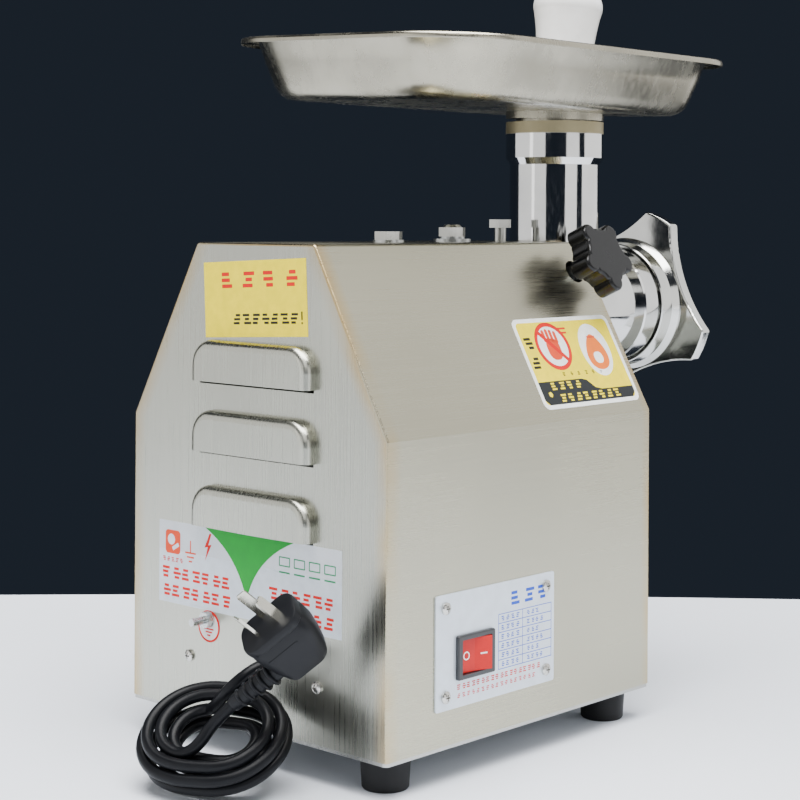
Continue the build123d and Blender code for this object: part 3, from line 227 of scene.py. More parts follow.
def polished_metal(name, colour, roughness, ripple_mm=0.05, wear=(60.0, 60.0, 60.0), band=None):
    """Polished metal with faint ripples, smudges and hairline scratches."""
    metal = Finish(name, colour, metallic=1.0, roughness=roughness)
    smudge = metal.noise((28.0, 28.0, 28.0), detail=3.0)
    lines = metal.noise((wear[0] * 12, wear[1] * 12, wear[2] * 2), detail=4.0, roughness=0.7)
    tone = metal.mixed(metal.spread(smudge, 0.35, 0.75), scaled(colour, 1.03), scaled(colour, 0.86))
    rough = metal.work(
        "ADD",
        metal.spread(smudge, 0.3, 0.7, roughness * 0.75, roughness * 1.3),
        metal.spread(lines, 0.45, 0.8, 0.0, 0.09),
    )
    if band:
        tone = metal.mixed(band(metal), tone, BAND_TAN)
        rough = metal.work("ADD", rough, metal.work("MULTIPLY", band(metal), 0.4))
    metal.feed(tone, "Base Color")
    metal.feed(rough, "Roughness")
    ripples = metal.work("ADD", metal.noise(wear, detail=2.0), metal.work("MULTIPLY", lines, 0.08))
    metal.relief(ripples, 0.35, ripple_mm)
    return metal.material


def cast_metal(name, colour, roughness=0.38, grain_mm=1.6):
    """Cast metal: small pits and a soft skin."""
    metal = Finish(name, colour, metallic=1.0, roughness=roughness)
    cells = 1000.0 / grain_mm
    pits = metal.noise((cells, cells, cells), detail=5.0, roughness=0.6)
    skin = metal.noise((35.0, 35.0, 35.0), detail=3.0)
    tone = metal.mixed(metal.spread(skin, 0.3, 0.7), scaled(colour, 0.85), scaled(colour, 1.05))
    metal.feed(tone, "Base Color")
    metal.feed(metal.spread(pits, 0.3, 0.7, roughness * 0.8, roughness * 1.25), "Roughness")
    metal.relief(pits, 0.3, 0.12)
    return metal.material


def moulded(name, colour, roughness=0.4, texture_mm=0.8, coat=0.0, depth=0.05, shine=0.5):
    """Moulded plastic or rubber with a fine skin and handling marks."""
    skin = Finish(name, colour, roughness=roughness)
    cells = 1000.0 / texture_mm
    grain = skin.noise((cells, cells, cells), detail=3.0)
    marks = skin.noise((50.0, 50.0, 50.0), detail=4.0)
    tone = skin.mixed(skin.spread(marks, 0.35, 0.75), scaled(colour, 0.9), scaled(colour, 1.15))
    skin.feed(tone, "Base Color")
    skin.feed(skin.spread(marks, 0.3, 0.75, roughness * 0.85, min(1.0, roughness * 1.25)), "Roughness")
    skin.relief(grain, 0.25, depth)
    skin.set("Specular IOR Level", shine)
    skin.set("Coat Weight", coat)
    skin.set("Coat Roughness", 0.12)
    return skin.material


def printed(name, colour, roughness=0.55):
    """Ink or film with a faint mottle."""
    ink = Finish(name, colour, roughness=roughness)
    ink.set("Specular IOR Level", 0.2)
    mottle = ink.noise((180.0, 180.0, 180.0), detail=3.0)
    tone = ink.mixed(ink.spread(mottle, 0.3, 0.7), scaled(colour, 0.93), scaled(colour, 1.04))
    ink.feed(tone, "Base Color")
    ink.feed(ink.spread(mottle, 0.3, 0.7, roughness * 0.9, roughness * 1.15), "Roughness")
    ink.relief(ink.noise((60.0, 60.0, 60.0)), 0.15, 0.15)
    return ink.material


def silver_film(name, colour, roughness=0.42):
    """A metallised label film."""
    film = Finish(name, colour, metallic=0.55, roughness=roughness)
    mottle = film.noise((90.0, 90.0, 90.0), detail=3.0)
    tone = film.mixed(film.spread(mottle, 0.3, 0.7), scaled(colour, 0.92), scaled(colour, 1.05))
    film.feed(tone, "Base Color")
    film.feed(film.spread(mottle, 0.3, 0.7, roughness * 0.85, roughness * 1.2), "Roughness")
    film.relief(mottle, 0.1, 0.1)
    return film.material


STEEL = shade(176, 172, 152)
STRAW = shade(186, 152, 84)
BAND_TAN = shade(156, 146, 116)
GRAIN_ALONG_Y = (620.0, 9.0, 620.0)
GRAIN_ALONG_Z = (620.0, 620.0, 9.0)

FINISHES = {
    "housing_steel": lambda n: brushed_steel(n, housing().steel, GRAIN_ALONG_Y, shell_tint),
    # the end panels carry a painted shade low on the switch side
    "rear_panel_steel": lambda n: brushed_steel(n, housing().panel, GRAIN_ALONG_Z, panel_tint, panel_shadow),
    "base_steel": lambda n: brushed_steel(n, shade(178, 178, 174), GRAIN_ALONG_Y),
    "black_rubber": lambda n: moulded(n, shade(14, 14, 15), 0.62, 0.9, depth=0.08, shine=0.3),
    "zinc_steel": lambda n: polished_metal(n, shade(196, 198, 196), 0.28, 0.02),
    "screw_steel": lambda n: polished_metal(n, shade(206, 204, 198), 0.22, 0.02),
    "bolt_steel": lambda n: polished_metal(n, shade(200, 200, 194), 0.3, 0.03),
    "control_print": lambda n: silver_film(n, labels().plate),
    "switch_black": lambda n: moulded(n, shade(24, 24, 26), 0.32, 1.0, 0.2),
    "switch_red": lambda n: moulded(n, shade(192, 4, 2), 0.34, 1.2, 0.0, 0.02, 0.3),
    "warning_print": lambda n: printed(n, labels().yellow),
    "yellow_print": lambda n: printed(n, labels().yellow),
    "wiring_print": lambda n: printed(n, shade(206, 214, 222)),
    "earth_print": lambda n: printed(n, shade(226, 224, 222)),
    "cast_aluminium": lambda n: cast_metal(n, shade(190, 190, 188)),
    "bearing_steel": lambda n: polished_metal(n, shade(180, 182, 184), 0.16, 0.01),
    "seal_rubber": lambda n: moulded(n, shade(40, 32, 28), 0.55),
    "gear_steel": lambda n: polished_metal(n, shade(150, 152, 154), 0.3, 0.02),
    "lamination_steel": lambda n: cast_metal(n, shade(120, 122, 126), 0.42, 0.5),
    "copper_winding": lambda n: polished_metal(n, shade(196, 112, 62), 0.3, 0.25, (420.0, 420.0, 420.0)),
    "motor_paint": lambda n: moulded(n, shade(92, 98, 104), 0.45, 2.0, 0.1, 0.1),
    "fan_plastic": lambda n: moulded(n, shade(40, 44, 52), 0.45),
    "capacitor_shell": lambda n: moulded(n, shade(222, 222, 216), 0.4),
    "terminal_plastic": lambda n: moulded(n, shade(226, 222, 206), 0.42),
    "wire_insulation": lambda n: moulded(n, shade(30, 30, 34), 0.4, 0.6),
    "brass_pad": lambda n: polished_metal(n, shade(204, 170, 96), 0.26, 0.02),
    "knob_black": lambda n: moulded(n, shade(8, 8, 9), 0.24, 2.5, 0.05, 0.02, 0.3),
    "head_casting": lambda n: polished_metal(n, head().casting, 0.07, 0.09, (55.0,) * 3, collar_band),
    "bush_bronze": lambda n: polished_metal(n, shade(184, 140, 84), 0.3, 0.02),
    "washer_fibre": lambda n: moulded(n, shade(70, 46, 34), 0.7, 0.5),
    "auger_iron": lambda n: cast_metal(n, shade(160, 160, 158), 0.3),
    "knife_steel": lambda n: polished_metal(n, shade(186, 188, 190), 0.2, 0.02),
    "plate_steel": lambda n: polished_metal(n, shade(190, 190, 188), 0.18, 0.02),
    "ring_casting": lambda n: polished_metal(n, head().ring, 0.12, 0.2, (110.0,) * 3),
    "pan_steel": lambda n: polished_metal(n, pan().steel, 0.24, 0.3, (16.0,) * 3),
    "pusher_white": lambda n: moulded(n, shade(250, 250, 250), 0.3, 1.6, 0.15),
    "gland_plastic": lambda n: moulded(n, shade(22, 22, 24), 0.42),
    "cord_rubber": lambda n: moulded(n, cord_settings().colour, 0.36, 0.7, 0.0, 0.03, 0.14),
    "plug_plastic": lambda n: moulded(n, scaled(cord_settings().colour, 1.3), 0.4, 0.9, 0.0, 0.05, 0.18),
    "pin_nickel": lambda n: polished_metal(n, shade(204, 202, 190), 0.2, 0.02),
    "ink_red": lambda n: printed(n, shade(206, 18, 10)),
    "ink_dark": lambda n: printed(n, shade(26, 28, 30)),
    "ink_black": lambda n: printed(n, shade(34, 37, 38)),
    "ink_green": lambda n: printed(n, labels().green),
    "ink_blue": lambda n: printed(n, shade(40, 78, 190)),
    "ink_white": lambda n: printed(n, shade(240, 242, 238)),
    "ink_silver": lambda n: silver_film(n, shade(196, 200, 204)),
    "ink_orange": lambda n: printed(n, shade(230, 112, 30)),
    "ink_skin": lambda n: printed(n, shade(214, 70, 34)),
    "ink_teal": lambda n: printed(n, shade(40, 140, 88)),
}


def finish(name):
    """The material of that finish, made the first time it is asked for."""
    own_name = "grinder_" + name
    return bpy.data.materials.get(own_name) or FINISHES[name](own_name)


# Settings ---------------------------------------------------------------------------------------


def colour_property(name, description, default):
    return FloatVectorProperty(
        name=name, description=description, default=default, subtype="COLOR", size=3, min=0.0, max=1.0
    )


def length_property(name, description, default):
    return FloatProperty(name=name, description=description, default=default, unit="LENGTH", precision=4)


class GrinderHousing(bpy.types.PropertyGroup):
    steel: colour_property("Shell", "Colour of the brushed shell", STEEL)
    panel: colour_property("End panels", "Colour of the end panels", shade(186, 186, 174))
    screw_radius: length_property("Screw head radius", "Radius of the panel screws' heads", 0.0036)
    screw_height: length_property("Screw head height", "Height of the panel screws' heads", 0.0026)


class GrinderHead(bpy.types.PropertyGroup):
    casting: colour_property("Head", "Colour of the polished head", shade(214, 214, 212))
    ring: colour_property("Ring nut", "Colour of the polished ring nut", shade(206, 206, 202))


class GrinderPan(bpy.types.PropertyGroup):
    steel: colour_property("Pan", "Colour of the pan's steel", shade(164, 159, 143))
    width: length_property("Width", "Overall width of the pan", 0.225)
    length: length_property("Length", "Overall length of the pan", 0.310)
    rim: length_property("Rim", "Width of the flat rim", 0.012)
    sheet: length_property("Sheet", "Thickness of the pan's sheet", 0.0012)


class GrinderLabels(bpy.types.PropertyGroup):
    yellow: colour_property("Yellow", "Ground of the yellow labels", shade(240, 217, 0))
    green: colour_property("Green", "Triangle on the wiring label", shade(10, 150, 48))
    plate: colour_property("Control plate", "Ground of the control plate", shade(212, 220, 228))


class GrinderCord(bpy.types.PropertyGroup):
    diameter: length_property("Diameter", "Diameter of the mains cord", 0.007)
    spread: length_property("Spread", "Distance of the loose turns from the hank's middle", 0.0096)
    strands: IntProperty(name="Strands", description="Turns side by side in the hank", default=7, min=3)
    colour: colour_property("Rubber", "Colour of the cord and plug", shade(14, 15, 18))


class GrinderStage(bpy.types.PropertyGroup):
    floor: colour_property("Floor", "Colour of the pale floor", shade(232, 237, 246))
    floor_radius: length_property("Floor radius", "Radius of the round floor", 6.0)
    backdrop: colour_property("Backdrop", "Colour of the dark surroundings", shade(32, 38, 47))
    light: FloatProperty(name="Light", description="Strength of all the lights", default=1.0, min=0.0)


def housing():
    return bpy.context.scene.grinder_housing


def head():
    return bpy.context.scene.grinder_head


def pan():
    return bpy.context.scene.grinder_pan


def labels():
    return bpy.context.scene.grinder_labels


def cord_settings():
    return bpy.context.scene.grinder_cord


def stage_settings():
    return bpy.context.scene.grinder_stage


# Mesh making ------------------------------------------------------------------------------------


class Shape:
    """Collects points in millimetres, and faces that each have a finish."""

    def __init__(self):
        self.points = []
        self.faces = []
        self.finishes = []

    def add(self, points, faces, finish_name):
        base = len(self.points)
        self.points += [tuple(p) for p in points]
        self.faces += [tuple(base + i for i in face) for face in faces]
        self.finishes += [finish_name] * len(faces)

    def skin(self, rings, finish_name, closed=False, caps=True):
        """Joins rings of equal length; closed joins the last to the first."""
        count = len(rings[0])
        faces = []
        steps = len(rings) if closed else len(rings) - 1
        for k in range(steps):
            a, b = k * count, (k + 1) % len(rings) * count
            faces += [(a + i, a + (i + 1) % count, b + (i + 1) % count, b + i) for i in range(count)]
        if caps and not closed:
            faces.append(tuple(reversed(range(count))))
            faces.append(tuple(range((len(rings) - 1) * count, len(rings) * count)))
        self.add([p for ring in rings for p in ring], faces, finish_name)

    def slab(self, place, outline, low, high, finish_name):
        """A flat prism of an outline, between two heights over a label's ground."""
        self.skin([[place(x, y, z) for x, y in outline] for z in (low, high)], finish_name)

    def hoop(self, place, centre, outer, inner, low, high, finish_name):
        """A flat ring."""
        rings = [
            [place(x, y, z) for x, y in disc(centre[0], centre[1], radius, 40)]
            for radius, z in ((outer, low), (outer, high), (inner, high), (inner, low))
        ]
        self.skin(rings, finish_name, closed=True)

    def piece(self, name, body, smooth_angle=35.0):
        """The finished object, in place, riding on its body."""
        mesh = bpy.data.meshes.new(name)
        mesh.from_pydata([tuple(c * MM for c in p) for p in self.points], [], self.faces)
        names = sorted(set(self.finishes))
        for finish_name in names:
            mesh.materials.append(finish(finish_name))
        for polygon, finish_name in zip(mesh.polygons, self.finishes):
            polygon.material_index = names.index(finish_name)
        edit = bmesh.new()
        edit.from_mesh(mesh)
        bmesh.ops.recalc_face_normals(edit, faces=edit.faces)
        edit.to_mesh(mesh)
        edit.free()
        mesh.shade_smooth()
        mesh.set_sharp_from_angle(angle=math.radians(smooth_angle))
        made = bpy.data.objects.new(name, mesh)
        bpy.context.scene.collection.objects.link(made)
        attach(made, body)
        return made


def disc(x, y, radius, count=32):
    return [
        (x + radius * math.cos(2 * math.pi * k / count), y + radius * math.sin(2 * math.pi * k / count))
        for k in range(count)
    ]


def bar(x, y, width, height, turn=0.0):
    """A rectangle about its centre, turned in degrees."""
    c, s = math.cos(math.radians(turn)), math.sin(math.radians(turn))
    corners = ((-0.5, -0.5), (0.5, -0.5), (0.5, 0.5), (-0.5, 0.5))
    return [
        (x + i * width * c - k * height * s, y + i * width * s + k * height * c) for i, k in corners
    ]


def rounded(x, y, width, height, radius, steps=6):
    """A rectangle with rounded corners, about its centre."""
    points = []
    for i, k, start in ((1, 1, 0), (-1, 1, 90), (-1, -1, 180), (1, -1, 270)):
        cx, cy = x + i * (width / 2 - radius), y + k * (height / 2 - radius)
        for step in range(steps + 1):
            a = math.radians(start + 90 * step / steps)
            points.append((cx + radius * math.cos(a), cy + radius * math.sin(a)))
    return points


def rear_place(x, z, turn=0.0):
    """Places label points on the rear panel: x to the viewer's right, y up."""
    c, s = math.cos(math.radians(turn)), math.sin(math.radians(turn))

    def place(u, v, lift):
        return (x - (u * c - v * s), BACK + lift, z + u * s + v * c)

    return place


def side_place(y, z, start):
    """Places points on the switch side: x to the viewer's right, y up."""

    def place(u, v, lift):
        return (SIDE - start - lift, y - u, z + v)

    return place


def slope_place(y, up):
    """Places points on the sloping face above the switch side."""
    run, rise = 58.9 / 123.3, 108.3 / 123.3

    def place(u, v, lift):
        along = up + v
        return (SIDE + run * along - rise * lift, FRONT + y - u, 200.4 + rise * along + run * lift)

    return place


def dashes(shape, place, x, y, count, pitch, size, finish_name, level, seed=3):
    """A row of generic marks, each three short bars."""
    for k in range(count):
        for row in range(3):
            share = 0.55 + 0.4 * math.sin(seed * 1.7 + k * 2.3 + row * 1.9) ** 2
            shift = 0.12 * math.sin(seed + k * 3.1 + row)
            across = x + k * pitch + shift * size
            outline = bar(across, y + (row - 1) * size * 0.36, size * share, size * 0.22)
            shape.slab(place, outline, level, level + 0.02, finish_name)


# Cord, plug -------------------------------------------------------------------------------------


HANK_BEND = 25.0
HANK_STRAIGHT = 9.0
HANK_TURN = 4 * HANK_STRAIGHT + 2 * math.pi * HANK_BEND
HANK_TURNS = 6 + (87.5 - HANK_STRAIGHT) / HANK_TURN
HANK_FIRST_ANGLE = math.radians(150)
POINTS_PER_TURN = 16
LEAD = (
    (-37.0, 197.9, 70.0),
    (-37.0, 209.9, 70.0),
    (-33.3, 221.4, 65.2),
    (-26.7, 228.7, 56.7),
)


def hank_point(x, y, z):
    """A point in the leaning hank's own directions."""
    return HANK_CENTRE + HANK_ALONG * x + HANK_UP * y + HANK_ALONG.cross(HANK_UP) * z


def plug_point(along, wide, out):
    across = PLUG_OUT.cross(PLUG_LONG)
    return PLUG_CENTRE + PLUG_LONG * along + across * wide + PLUG_OUT * out


def slot_at(distance):
    """A place on the hank's middle line and the outward direction there."""
    s = distance % HANK_TURN
    half = math.pi * HANK_BEND
    if s < HANK_STRAIGHT:
        return (-s, HANK_BEND), (0.0, 1.0)
    s -= HANK_STRAIGHT
    if s < half:
        a = math.pi / 2 + s / HANK_BEND
        return (-HANK_STRAIGHT + HANK_BEND * math.cos(a), HANK_BEND * math.sin(a)), (math.cos(a), math.sin(a))
    s -= half
    if s < 2 * HANK_STRAIGHT:
        return (-HANK_STRAIGHT + s, -HANK_BEND), (0.0, -1.0)
    s -= 2 * HANK_STRAIGHT
    if s < half:
        a = -math.pi / 2 + s / HANK_BEND
        return (HANK_STRAIGHT + HANK_BEND * math.cos(a), HANK_BEND * math.sin(a)), (math.cos(a), math.sin(a))
    s -= half
    return (HANK_STRAIGHT - s, HANK_BEND), (0.0, 1.0)


def cord_points():
    """The lead from the gland, the loose turns of the hank, and the run up to the plug."""
    settings = cord_settings()
    spread = settings.spread / MM
    points = [Vector(p) for p in LEAD]
    points += [hank_point(0.5, 15.2, 15.0), hank_point(-4.5, 15.5, 9.0)]
    count = int(HANK_TURNS * POINTS_PER_TURN)
    for k in range(count + 1):
        turn = k / count * HANK_TURNS
        s = HANK_STRAIGHT + turn * HANK_TURN
        around = HANK_FIRST_ANGLE + 2 * math.pi * turn / settings.strands
        reach = spread + 0.5 * math.sin(2 * math.pi * s / HANK_TURN + 1)
        reach += 0.35 * math.sin(2.1 * math.pi * turn)
        (x, y), (ox, oy) = slot_at(s)
        flat = reach * math.cos(around)
        points.append(hank_point(x + flat * ox, y + flat * oy, reach * math.sin(around)))
    points += [hank_point(0.0, -15.5, 11.5), plug_point(-66.0, 0.0, -30.0), plug_point(-51.0, 0.0, -29.0)]
    return points


def spline_length(points):
    """Length of the quadratic spline that the points draw, in millimetres."""
    total, last = 0.0, points[0]
    for k in range(len(points) - 2):
        a = points[k] if k == 0 else (points[k] + points[k + 1]) / 2
        c = points[k + 2] if k == len(points) - 3 else (points[k + 1] + points[k + 2]) / 2
        for step in range(1, 13):
            t = step / 12
            here = a * (1 - t) ** 2 + points[k + 1] * 2 * t * (1 - t) + c * t * t
            total += (here - last).length
            last = here
    return total


class GRINDER_OT_cord(bpy.types.Operator):
    """Lays the mains cord from the gland through its loose hank to the plug"""

    bl_idname = "grinder.cord"
    bl_label = "Mains cord"

    def execute(self, context):
        settings = cord_settings()
        points = cord_points()
        curve = bpy.data.curves.new("mains_cord", "CURVE")
        curve.dimensions = "3D"
        curve.bevel_depth = settings.diameter / 2
        curve.bevel_resolution = 4
        curve.resolution_u = 5
        curve.use_fill_caps = True
        spline = curve.splines.new("NURBS")
        spline.points.add(len(points) - 1)
        for target, point in zip(spline.points, points):
            target.co = (*(point * MM), 1.0)
        spline.order_u = 3
        spline.use_endpoint_u = True
        curve.materials.append(finish("cord_rubber"))
        cord = bpy.data.objects.new("mains_cord", curve)
        context.scene.collection.objects.link(cord)
        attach(cord, "housing")
        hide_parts("cord_tube", "cord_hank")
        length = spline_length(points) * MM
        return {"FINISHED"}


RELIEF_OUT = -29.0
RELIEF_RINGS = 5


def plug_ring(width_long, width_wide, radius, out, shift=0.0):
    return [plug_point(u + shift, v, out) for u, v in rounded(0, 0, width_long, width_wide, radius, 7)]


class GRINDER_OT_plug(bpy.types.Operator):
    """Makes the moulded plug, its pins and the rings of its strain relief"""

    bl_idname = "grinder.plug"
    bl_label = "Plug"

    def execute(self, context):
        body = Shape()
        rings = [
            plug_ring(35.0, 24.0, 8.0, 0.0),
            plug_ring(37.2, 26.2, 8.8, -0.5),
            plug_ring(38.0, 27.0, 9.2, -1.8),
            plug_ring(38.0, 26.6, 9.2, -5.0),
            plug_ring(36.6, 25.4, 9.0, -5.8),
            plug_ring(36.8, 25.6, 9.0, -7.2),
            plug_ring(38.0, 26.0, 9.2, -8.2),
            plug_ring(37.6, 25.6, 9.0, -16.0, -0.2),
            plug_ring(34.0, 22.8, 8.0, -26.0, -1.0),
            plug_ring(29.5, 20.0, 7.2, -34.0, -1.6),
            plug_ring(26.5, 18.0, 6.4, -37.2, -2.0),
            plug_ring(23.0, 15.0, 5.4, -38.0, -2.0),
        ]
        body.skin(rings, "plug_plastic")
        for k in range(6):
            for side in (-1, 1):
                low, high = -12.0 - 3.6 * k, -13.9 - 3.6 * k
                wide = 12.6 - 0.62 * k
                inner = ((-13, low), (9, low), (9, high), (-13, high))
                outer = ((-12, low - 0.4), (8, low - 0.4), (8, high + 0.4), (-12, high + 0.4))
                ends = [
                    [plug_point(u, side * (wide - 2.2), out) for u, out in inner],
                    [plug_point(u, side * (wide + 0.5), out) for u, out in outer],
                ]
                body.skin(ends, "plug_plastic")
        relief = []
        for along, radius in ((-9, 5.6), (-19, 5.6), (-30, 5.3), (-42, 4.9), (-50, 4.5), (-51, 4.0)):
            centre = plug_point(along, 0, RELIEF_OUT)
            relief.append(ring_on(centre, PLUG_OUT, PLUG_OUT.cross(PLUG_LONG), radius, 28))
        body.skin(relief, "plug_plastic")
        made = body.piece("plug_body", "housing", 40.0)
        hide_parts("plug")
        pins = Shape()
        for x, y, turn, length in ((-7.9, -3.0, 30, 18.0), (7.9, -3.0, -30, 18.0), (0, 7.5, 90, 21.0)):
            stages = ((6.3, 1.6, -2.0), (6.3, 1.6, length - 1.6))
            stages += ((5.7, 1.3, length - 0.5), (4.4, 0.8, length))
            rings = []
            for wide, thick, out in stages:
                rings.append([plug_point(u, v, out) for u, v in bar(x, y, wide, thick, turn + 90)])
            pins.skin(rings, "pin_nickel")
        pins.piece("plug_pins", "housing", 30.0)
        places = [plug_point(-22.0 - 5.6 * k, 0, RELIEF_OUT) for k in range(RELIEF_RINGS)]
        sizes = [7.4 - 0.45 * k for k in range(RELIEF_RINGS)]
        aims = [-PLUG_LONG] * RELIEF_RINGS
        inputs = {"Ring Radius": 0.84, "Wire Radius": 0.165}
        rings_made = instanced("plug_relief_rings", places, aims, sizes, ring_tree(), inputs)
        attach(rings_made, "housing")
        return {"FINISHED"}


def ring_on(centre, first, second, radius, count):
    return [centre + first * x + second * y for x, y in disc(0, 0, radius, count)]


# Geometry Nodes ---------------------------------------------------------------------------------


class Tree:
    """Writes one geometry node tree with named size inputs."""

    def __init__(self, name, sizes):
        self.group = bpy.data.node_groups.new(name, "GeometryNodeTree")
        interface = self.group.interface
        interface.new_socket("Geometry", in_out="INPUT", socket_type="NodeSocketGeometry")
        interface.new_socket("Geometry", in_out="OUTPUT", socket_type="NodeSocketGeometry")
        for label, default in sizes.items():
            socket = interface.new_socket(label, in_out="INPUT", socket_type="NodeSocketFloat")
            socket.default_value = default
        interface.new_socket("Finish", in_out="INPUT", socket_type="NodeSocketMaterial")
        self.start = self.add("NodeGroupInput")
        self.end = self.add("NodeGroupOutput")

    def add(self, kind, **settings):
        node = self.group.nodes.new(kind)
        for key, value in settings.items():
            setattr(node, key, value)
        return node

    def join(self, source, target):
        self.group.links.new(source, target)

    def give(self, name):
        return self.start.outputs[name]

    def times(self, first, factor):
        node = self.add("ShaderNodeMath", operation="MULTIPLY")
        self.join(first, node.inputs[0])
        node.inputs[1].default_value = factor
        return node.outputs[0]

    def vector(self, **parts):
        node = self.add("ShaderNodeCombineXYZ")
        for axis, source in parts.items():
            self.join(source, node.inputs[axis])
        return node.outputs[0]

    def moved(self, geometry, translation):
        node = self.add("GeometryNodeTransform")
        self.join(geometry, node.inputs["Geometry"])
        self.join(translation, node.inputs["Translation"])
        return node.outputs["Geometry"]

    def finish_on_points(self, instance):
        """Puts the instance on every point, along its aim and at its size, and ends the tree."""
        aim = self.add("GeometryNodeInputNamedAttribute", data_type="FLOAT_VECTOR")
        aim.inputs["Name"].default_value = "aim"
        turn = self.add("FunctionNodeAlignRotationToVector", axis="Z")
        self.join(aim.outputs["Attribute"], turn.inputs["Vector"])
        size = self.add("GeometryNodeInputNamedAttribute", data_type="FLOAT")
        size.inputs["Name"].default_value = "size"
        place = self.add("GeometryNodeInstanceOnPoints")
        self.join(self.give("Geometry"), place.inputs["Points"])
        self.join(instance, place.inputs["Instance"])
        self.join(turn.outputs["Rotation"], place.inputs["Rotation"])
        self.join(size.outputs["Attribute"], place.inputs["Scale"])
        real = self.add("GeometryNodeRealizeInstances")
        self.join(place.outputs["Instances"], real.inputs["Geometry"])
        paint = self.add("GeometryNodeSetMaterial")
        self.join(real.outputs["Geometry"], paint.inputs["Geometry"])
        self.join(self.give("Finish"), paint.inputs["Material"])
        self.join(paint.outputs["Geometry"], self.end.inputs["Geometry"])
        return self.group


def screw_tree():
    """A domed head with a cross recess, on every point."""
    tree = Tree("screw_heads", {"Radius": 0.0036, "Height": 0.0026, "Slot": 0.0009})
    barrel = tree.add("GeometryNodeMeshCylinder")
    barrel.inputs["Vertices"].default_value = 40
    tree.join(tree.give("Radius"), barrel.inputs["Radius"])
    tree.join(tree.give("Height"), barrel.inputs["Depth"])
    raised = tree.moved(barrel.outputs["Mesh"], tree.vector(Z=tree.times(tree.give("Height"), 0.5)))
    ball = tree.add("GeometryNodeMeshUVSphere")
    ball.inputs["Segments"].default_value = 40
    ball.inputs["Rings"].default_value = 40
    tree.join(tree.times(tree.give("Radius"), 1.45), ball.inputs["Radius"])
    lowered = tree.moved(ball.outputs["Mesh"], tree.vector(Z=tree.times(tree.give("Height"), -0.99)))
    dome = tree.add("GeometryNodeMeshBoolean", operation="INTERSECT")
    tree.join(raised, dome.inputs["Mesh 2"])
    tree.join(lowered, dome.inputs["Mesh 2"])
    cut = tree.add("GeometryNodeMeshBoolean", operation="DIFFERENCE")
    tree.join(dome.outputs["Mesh"], cut.inputs["Mesh 1"])
    long = tree.times(tree.give("Radius"), 1.05)
    for sides in ({"X": long, "Y": tree.give("Slot")}, {"X": tree.give("Slot"), "Y": long}):
        slot = tree.add("GeometryNodeMeshCube")
        tree.join(tree.vector(Z=tree.give("Height"), **sides), slot.inputs["Size"])
        high = tree.moved(slot.outputs["Mesh"], tree.vector(Z=tree.times(tree.give("Height"), 1.0)))
        tree.join(high, cut.inputs["Mesh 2"])
    return tree.finish_on_points(cut.outputs["Mesh"])


def ring_tree():
    """A rounded ring of radius one millimetre times the point's size."""
    tree = Tree("relief_rings", {"Ring Radius": 0.84, "Wire Radius": 0.165})
    path = tree.add("GeometryNodeCurvePrimitiveCircle")
    path.inputs["Resolution"].default_value = 32
    tree.join(tree.give("Ring Radius"), path.inputs["Radius"])
    section = tree.add("GeometryNodeCurvePrimitiveCircle")
    section.inputs["Resolution"].default_value = 10
    tree.join(tree.give("Wire Radius"), section.inputs["Radius"])
    pipe = tree.add("GeometryNodeCurveToMesh")
    tree.join(path.outputs["Curve"], pipe.inputs["Curve"])
    tree.join(section.outputs["Curve"], pipe.inputs["Profile Curve"])
    smaller = tree.add("GeometryNodeTransform")
    tree.join(pipe.outputs["Mesh"], smaller.inputs["Geometry"])
    smaller.inputs["Scale"].default_value = (MM, MM, MM)
    return tree.finish_on_points(smaller.outputs["Geometry"])


def instanced(name, places, aims, sizes, tree, inputs, finish_name="plug_plastic"):
    """Runs a tree on points and keeps the result as a plain mesh."""
    mesh = bpy.data.meshes.new(name + "_points")
    mesh.from_pydata([tuple(p * MM) for p in places], [], [])
    aim = mesh.attributes.new("aim", "FLOAT_VECTOR", "POINT")
    aim.data.foreach_set("vector", [c for a in aims for c in a])
    size = mesh.attributes.new("size", "FLOAT", "POINT")
    size.data.foreach_set("value", sizes)
    holder = bpy.data.objects.new(name + "_points", mesh)
    bpy.context.scene.collection.objects.link(holder)
    modifier = holder.modifiers.new("build", "NODES")
    modifier.node_group = tree
    for item in tree.interface.items_tree:
        if item.in_out == "INPUT" and item.name in inputs:
            modifier[item.identifier] = inputs[item.name]
        if item.in_out == "INPUT" and item.name == "Finish":
            modifier[item.identifier] = finish(finish_name)
    evaluated = holder.evaluated_get(bpy.context.evaluated_depsgraph_get())
    result = bpy.data.meshes.new_from_object(evaluated)
    if not result.polygons:
        raise RuntimeError(name + ": the node tree made no faces")
    holder.modifiers.remove(modifier)
    bpy.data.objects.remove(holder)
    result.name = name
    result.shade_smooth()
    result.set_sharp_from_angle(angle=math.radians(35))
    made = bpy.data.objects.new(name, result)
    bpy.context.scene.collection.objects.link(made)
    return made


PANEL_SCREW_X, PANEL_SCREW_Z = 55.6, 55.1
PLATE_SCREW_Y, PLATE_SCREW_Z = 46.0, 25.4
PLATE_SHEET = 1.0


